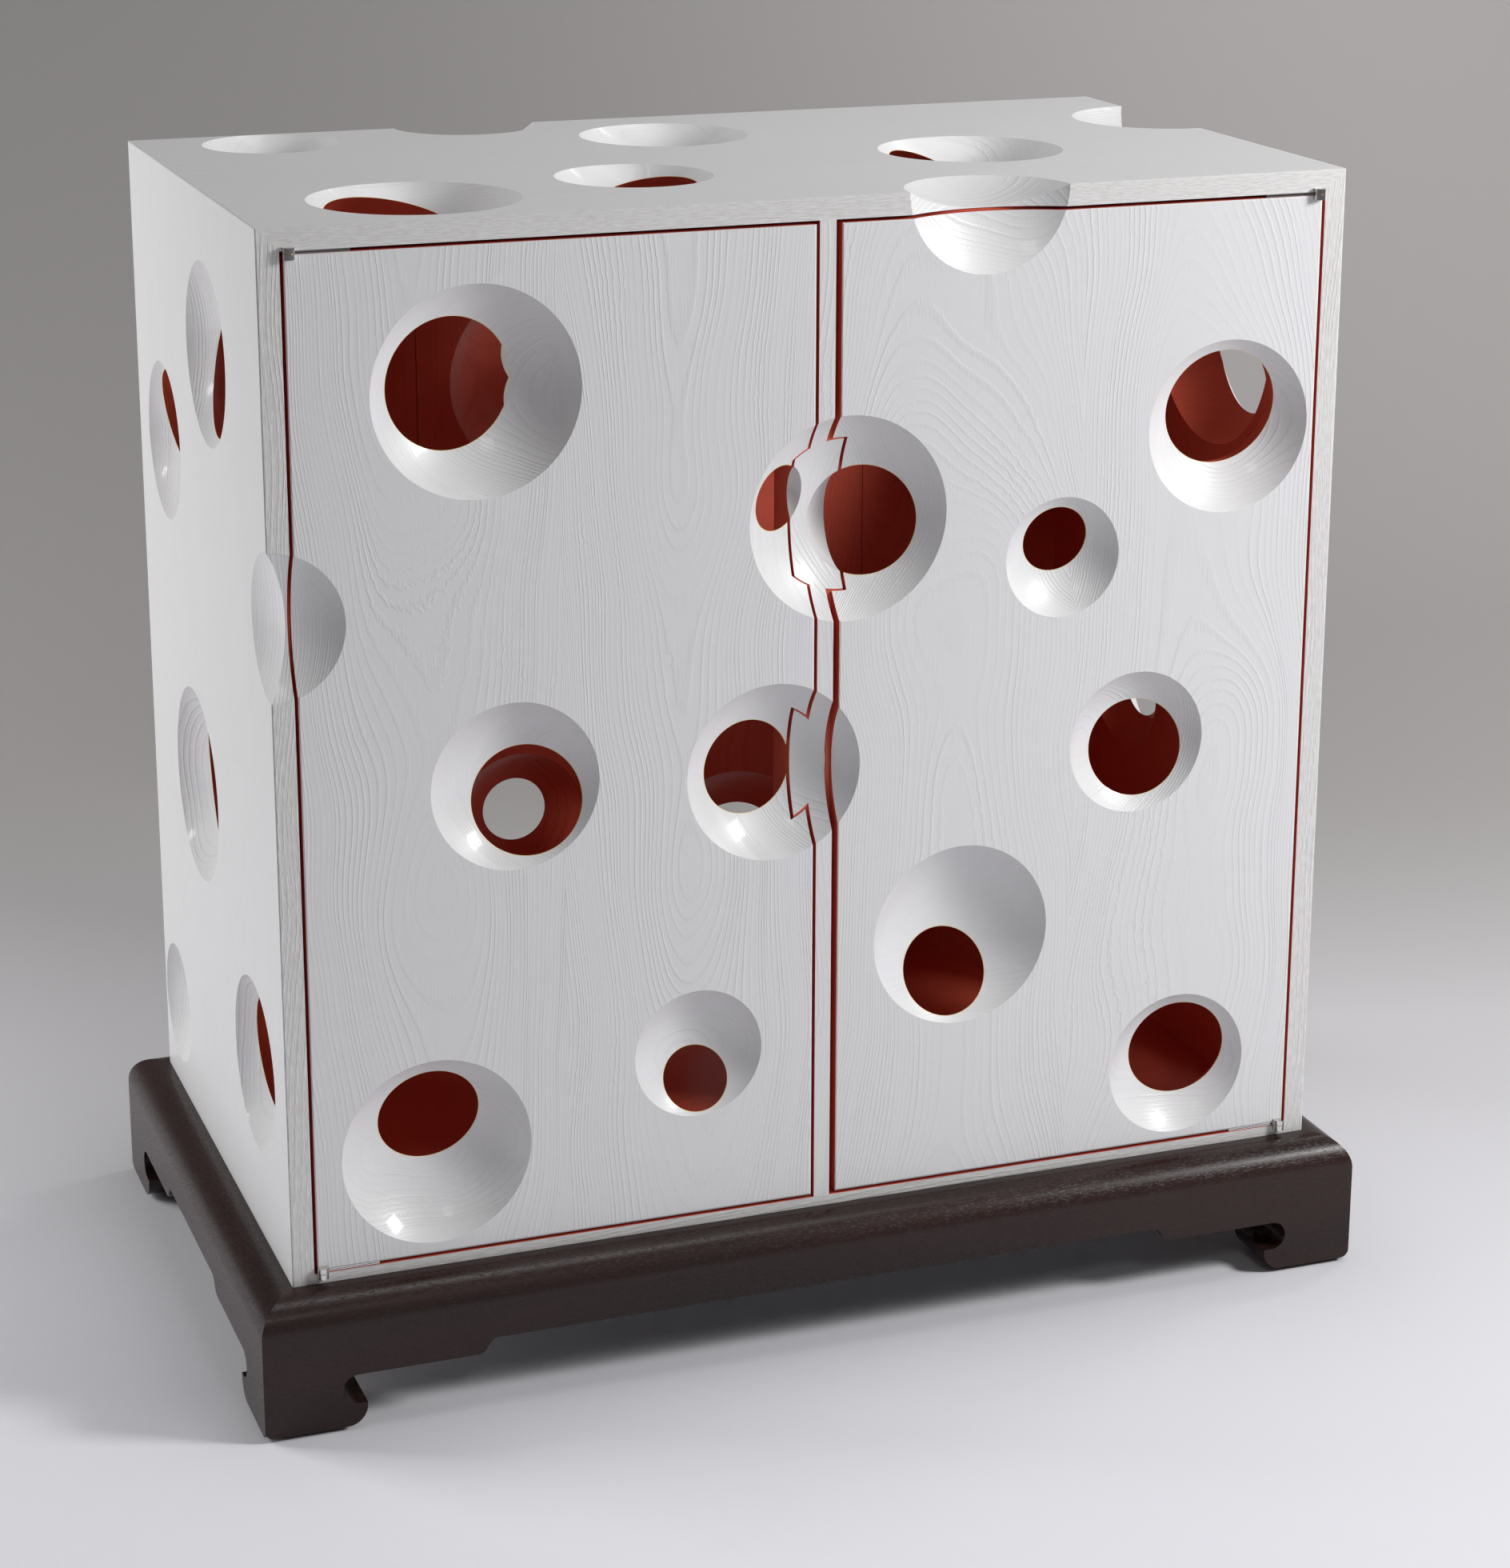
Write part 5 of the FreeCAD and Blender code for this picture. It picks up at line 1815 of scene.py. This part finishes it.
@dataclass
class Studio:
    """A paper sweep with painted shade from a pale floor to a grey wall, soft lamps and the camera."""

    half_width: float = 30.0
    floor_front: float = -30.0
    bend_start: float = 1.6
    bend_radius: float = 2.2
    wall_top: float = 20.0
    bend_steps: int = 32
    lamps: tuple[Lamp, ...] = (
        Lamp("key", (1.95, -1.45, 1.75), (0.0, -0.15, 0.6), 0.6, 53.5),
        Lamp("front", (-0.2, -3.4, 3.0), (0.0, 0.0, 0.5), 0.6, 8.0),
        Lamp("side", (-2.6, 1.5, 1.20), (-0.3, 0.0, 0.6), 1.5, 61.0, mirrored=False),
        Lamp("spark", (-2.5, 0.8, 1.5), (-0.48, 0.0, 0.6), 0.25, 4.0),
        Lamp("overhead", (0.5, -0.3, 3.3), (0.0, 0.0, 1.0), 1.4, 18.0),
        Lamp("wall", (3.0, 1.2, 3.4), (2.2, 4.2, 1.2), 1.2, 45.0),
    )
    world_level: float = 0.09
    seen_level: float = 0.30
    camera_place: Triple = (-1.0638, -2.9699, 1.4708)
    camera_yaw: float = 20.25
    camera_pitch: float = -15.65
    camera_roll: float = -0.10
    lens: float = 81.7
    shift: Pair = (0.0, -0.1)
    sight: float = 100.0

    def paper(self) -> None:
        """The floor, the bend and the wall in one sheet."""
        profile = [(self.floor_front, 0.0), (self.bend_start, 0.0)]
        for number in range(1, self.bend_steps + 1):
            turn = math.pi / 2 * number / self.bend_steps
            y = self.bend_start + self.bend_radius * math.sin(turn)
            profile.append((y, self.bend_radius * (1.0 - math.cos(turn))))
        profile.append((self.bend_start + self.bend_radius, self.wall_top))
        points = [(way * self.half_width, y, z) for way in (-1, 1) for y, z in profile]
        count = len(profile)
        mesh = bpy.data.meshes.new("paper")
        faces = [(number, count + number, count + number + 1, number + 1) for number in range(count - 1)]
        mesh.from_pydata(points, [], faces)
        mesh.polygons.foreach_set("use_smooth", [True] * len(mesh.polygons))
        sheet = mesh_object("paper", mesh)
        set_material(sheet, Paper("paper").material())

    def world(self) -> None:
        """A dim even surround that looks paler itself than the light that it gives."""
        world = bpy.data.worlds.new("surround")
        shade = Shade("surround", world)
        rays = [
            shade.node("ShaderNodeLightPath", {}, {}, kind)
            for kind in ("Is Camera Ray", "Is Glossy Ray", "Is Transmission Ray")
        ]
        seen = rays[0].most(rays[1]).most(rays[2])
        strength = seen * (self.seen_level - self.world_level) + self.world_level
        white = (1.0, 1.0, 1.0, 1.0)
        light = shade.node("ShaderNodeBackground", {}, {"Color": white, "Strength": strength})
        shade.node("ShaderNodeOutputWorld", {}, {"Surface": light})
        bpy.context.scene.world = world

    def camera(self) -> None:
        """The camera at the photograph's viewing angle."""
        data = bpy.data.cameras.new("camera")
        data.lens = self.lens
        data.shift_x, data.shift_y = self.shift
        data.clip_end = self.sight
        camera = bpy.data.objects.new("camera", data)
        bpy.context.scene.collection.objects.link(camera)
        pitch, yaw = math.radians(90.0 + self.camera_pitch), math.radians(-self.camera_yaw)
        turn = Euler((pitch, 0.0, yaw), "XYZ").to_matrix()
        roll = Matrix.Rotation(math.radians(-self.camera_roll), 3, "Z")
        camera.matrix_world = Matrix.Translation(self.camera_place) @ (turn @ roll).to_4x4()
        bpy.context.scene.camera = camera

    def build(self) -> None:
        """Set up the whole studio."""
        self.paper()
        self.world()
        for lamp in self.lamps:
            lamp.light()
        self.camera()
        bpy.context.scene.view_settings.view_transform = "Standard"


def corners(box: Sequence[Vector]) -> list[list[float]]:
    """A box's two corners as plain numbers."""
    return [[round(value, 5) for value in corner] for corner in box]


def main() -> None:
    """Build the cabinet's looks in order and report each piece."""
    logging.basicConfig(level=logging.INFO, format="%(message)s")
    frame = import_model()
    tree = ScoopTree()
    magnets = Magnets()
    Case(tree, magnets).build()
    Doors(tree, magnets).build()
    Ironmongery().dress(frame["nodes"])
    Stand().build(frame["nodes"])
    Studio().build()


if __name__ == "__main__":
    main()
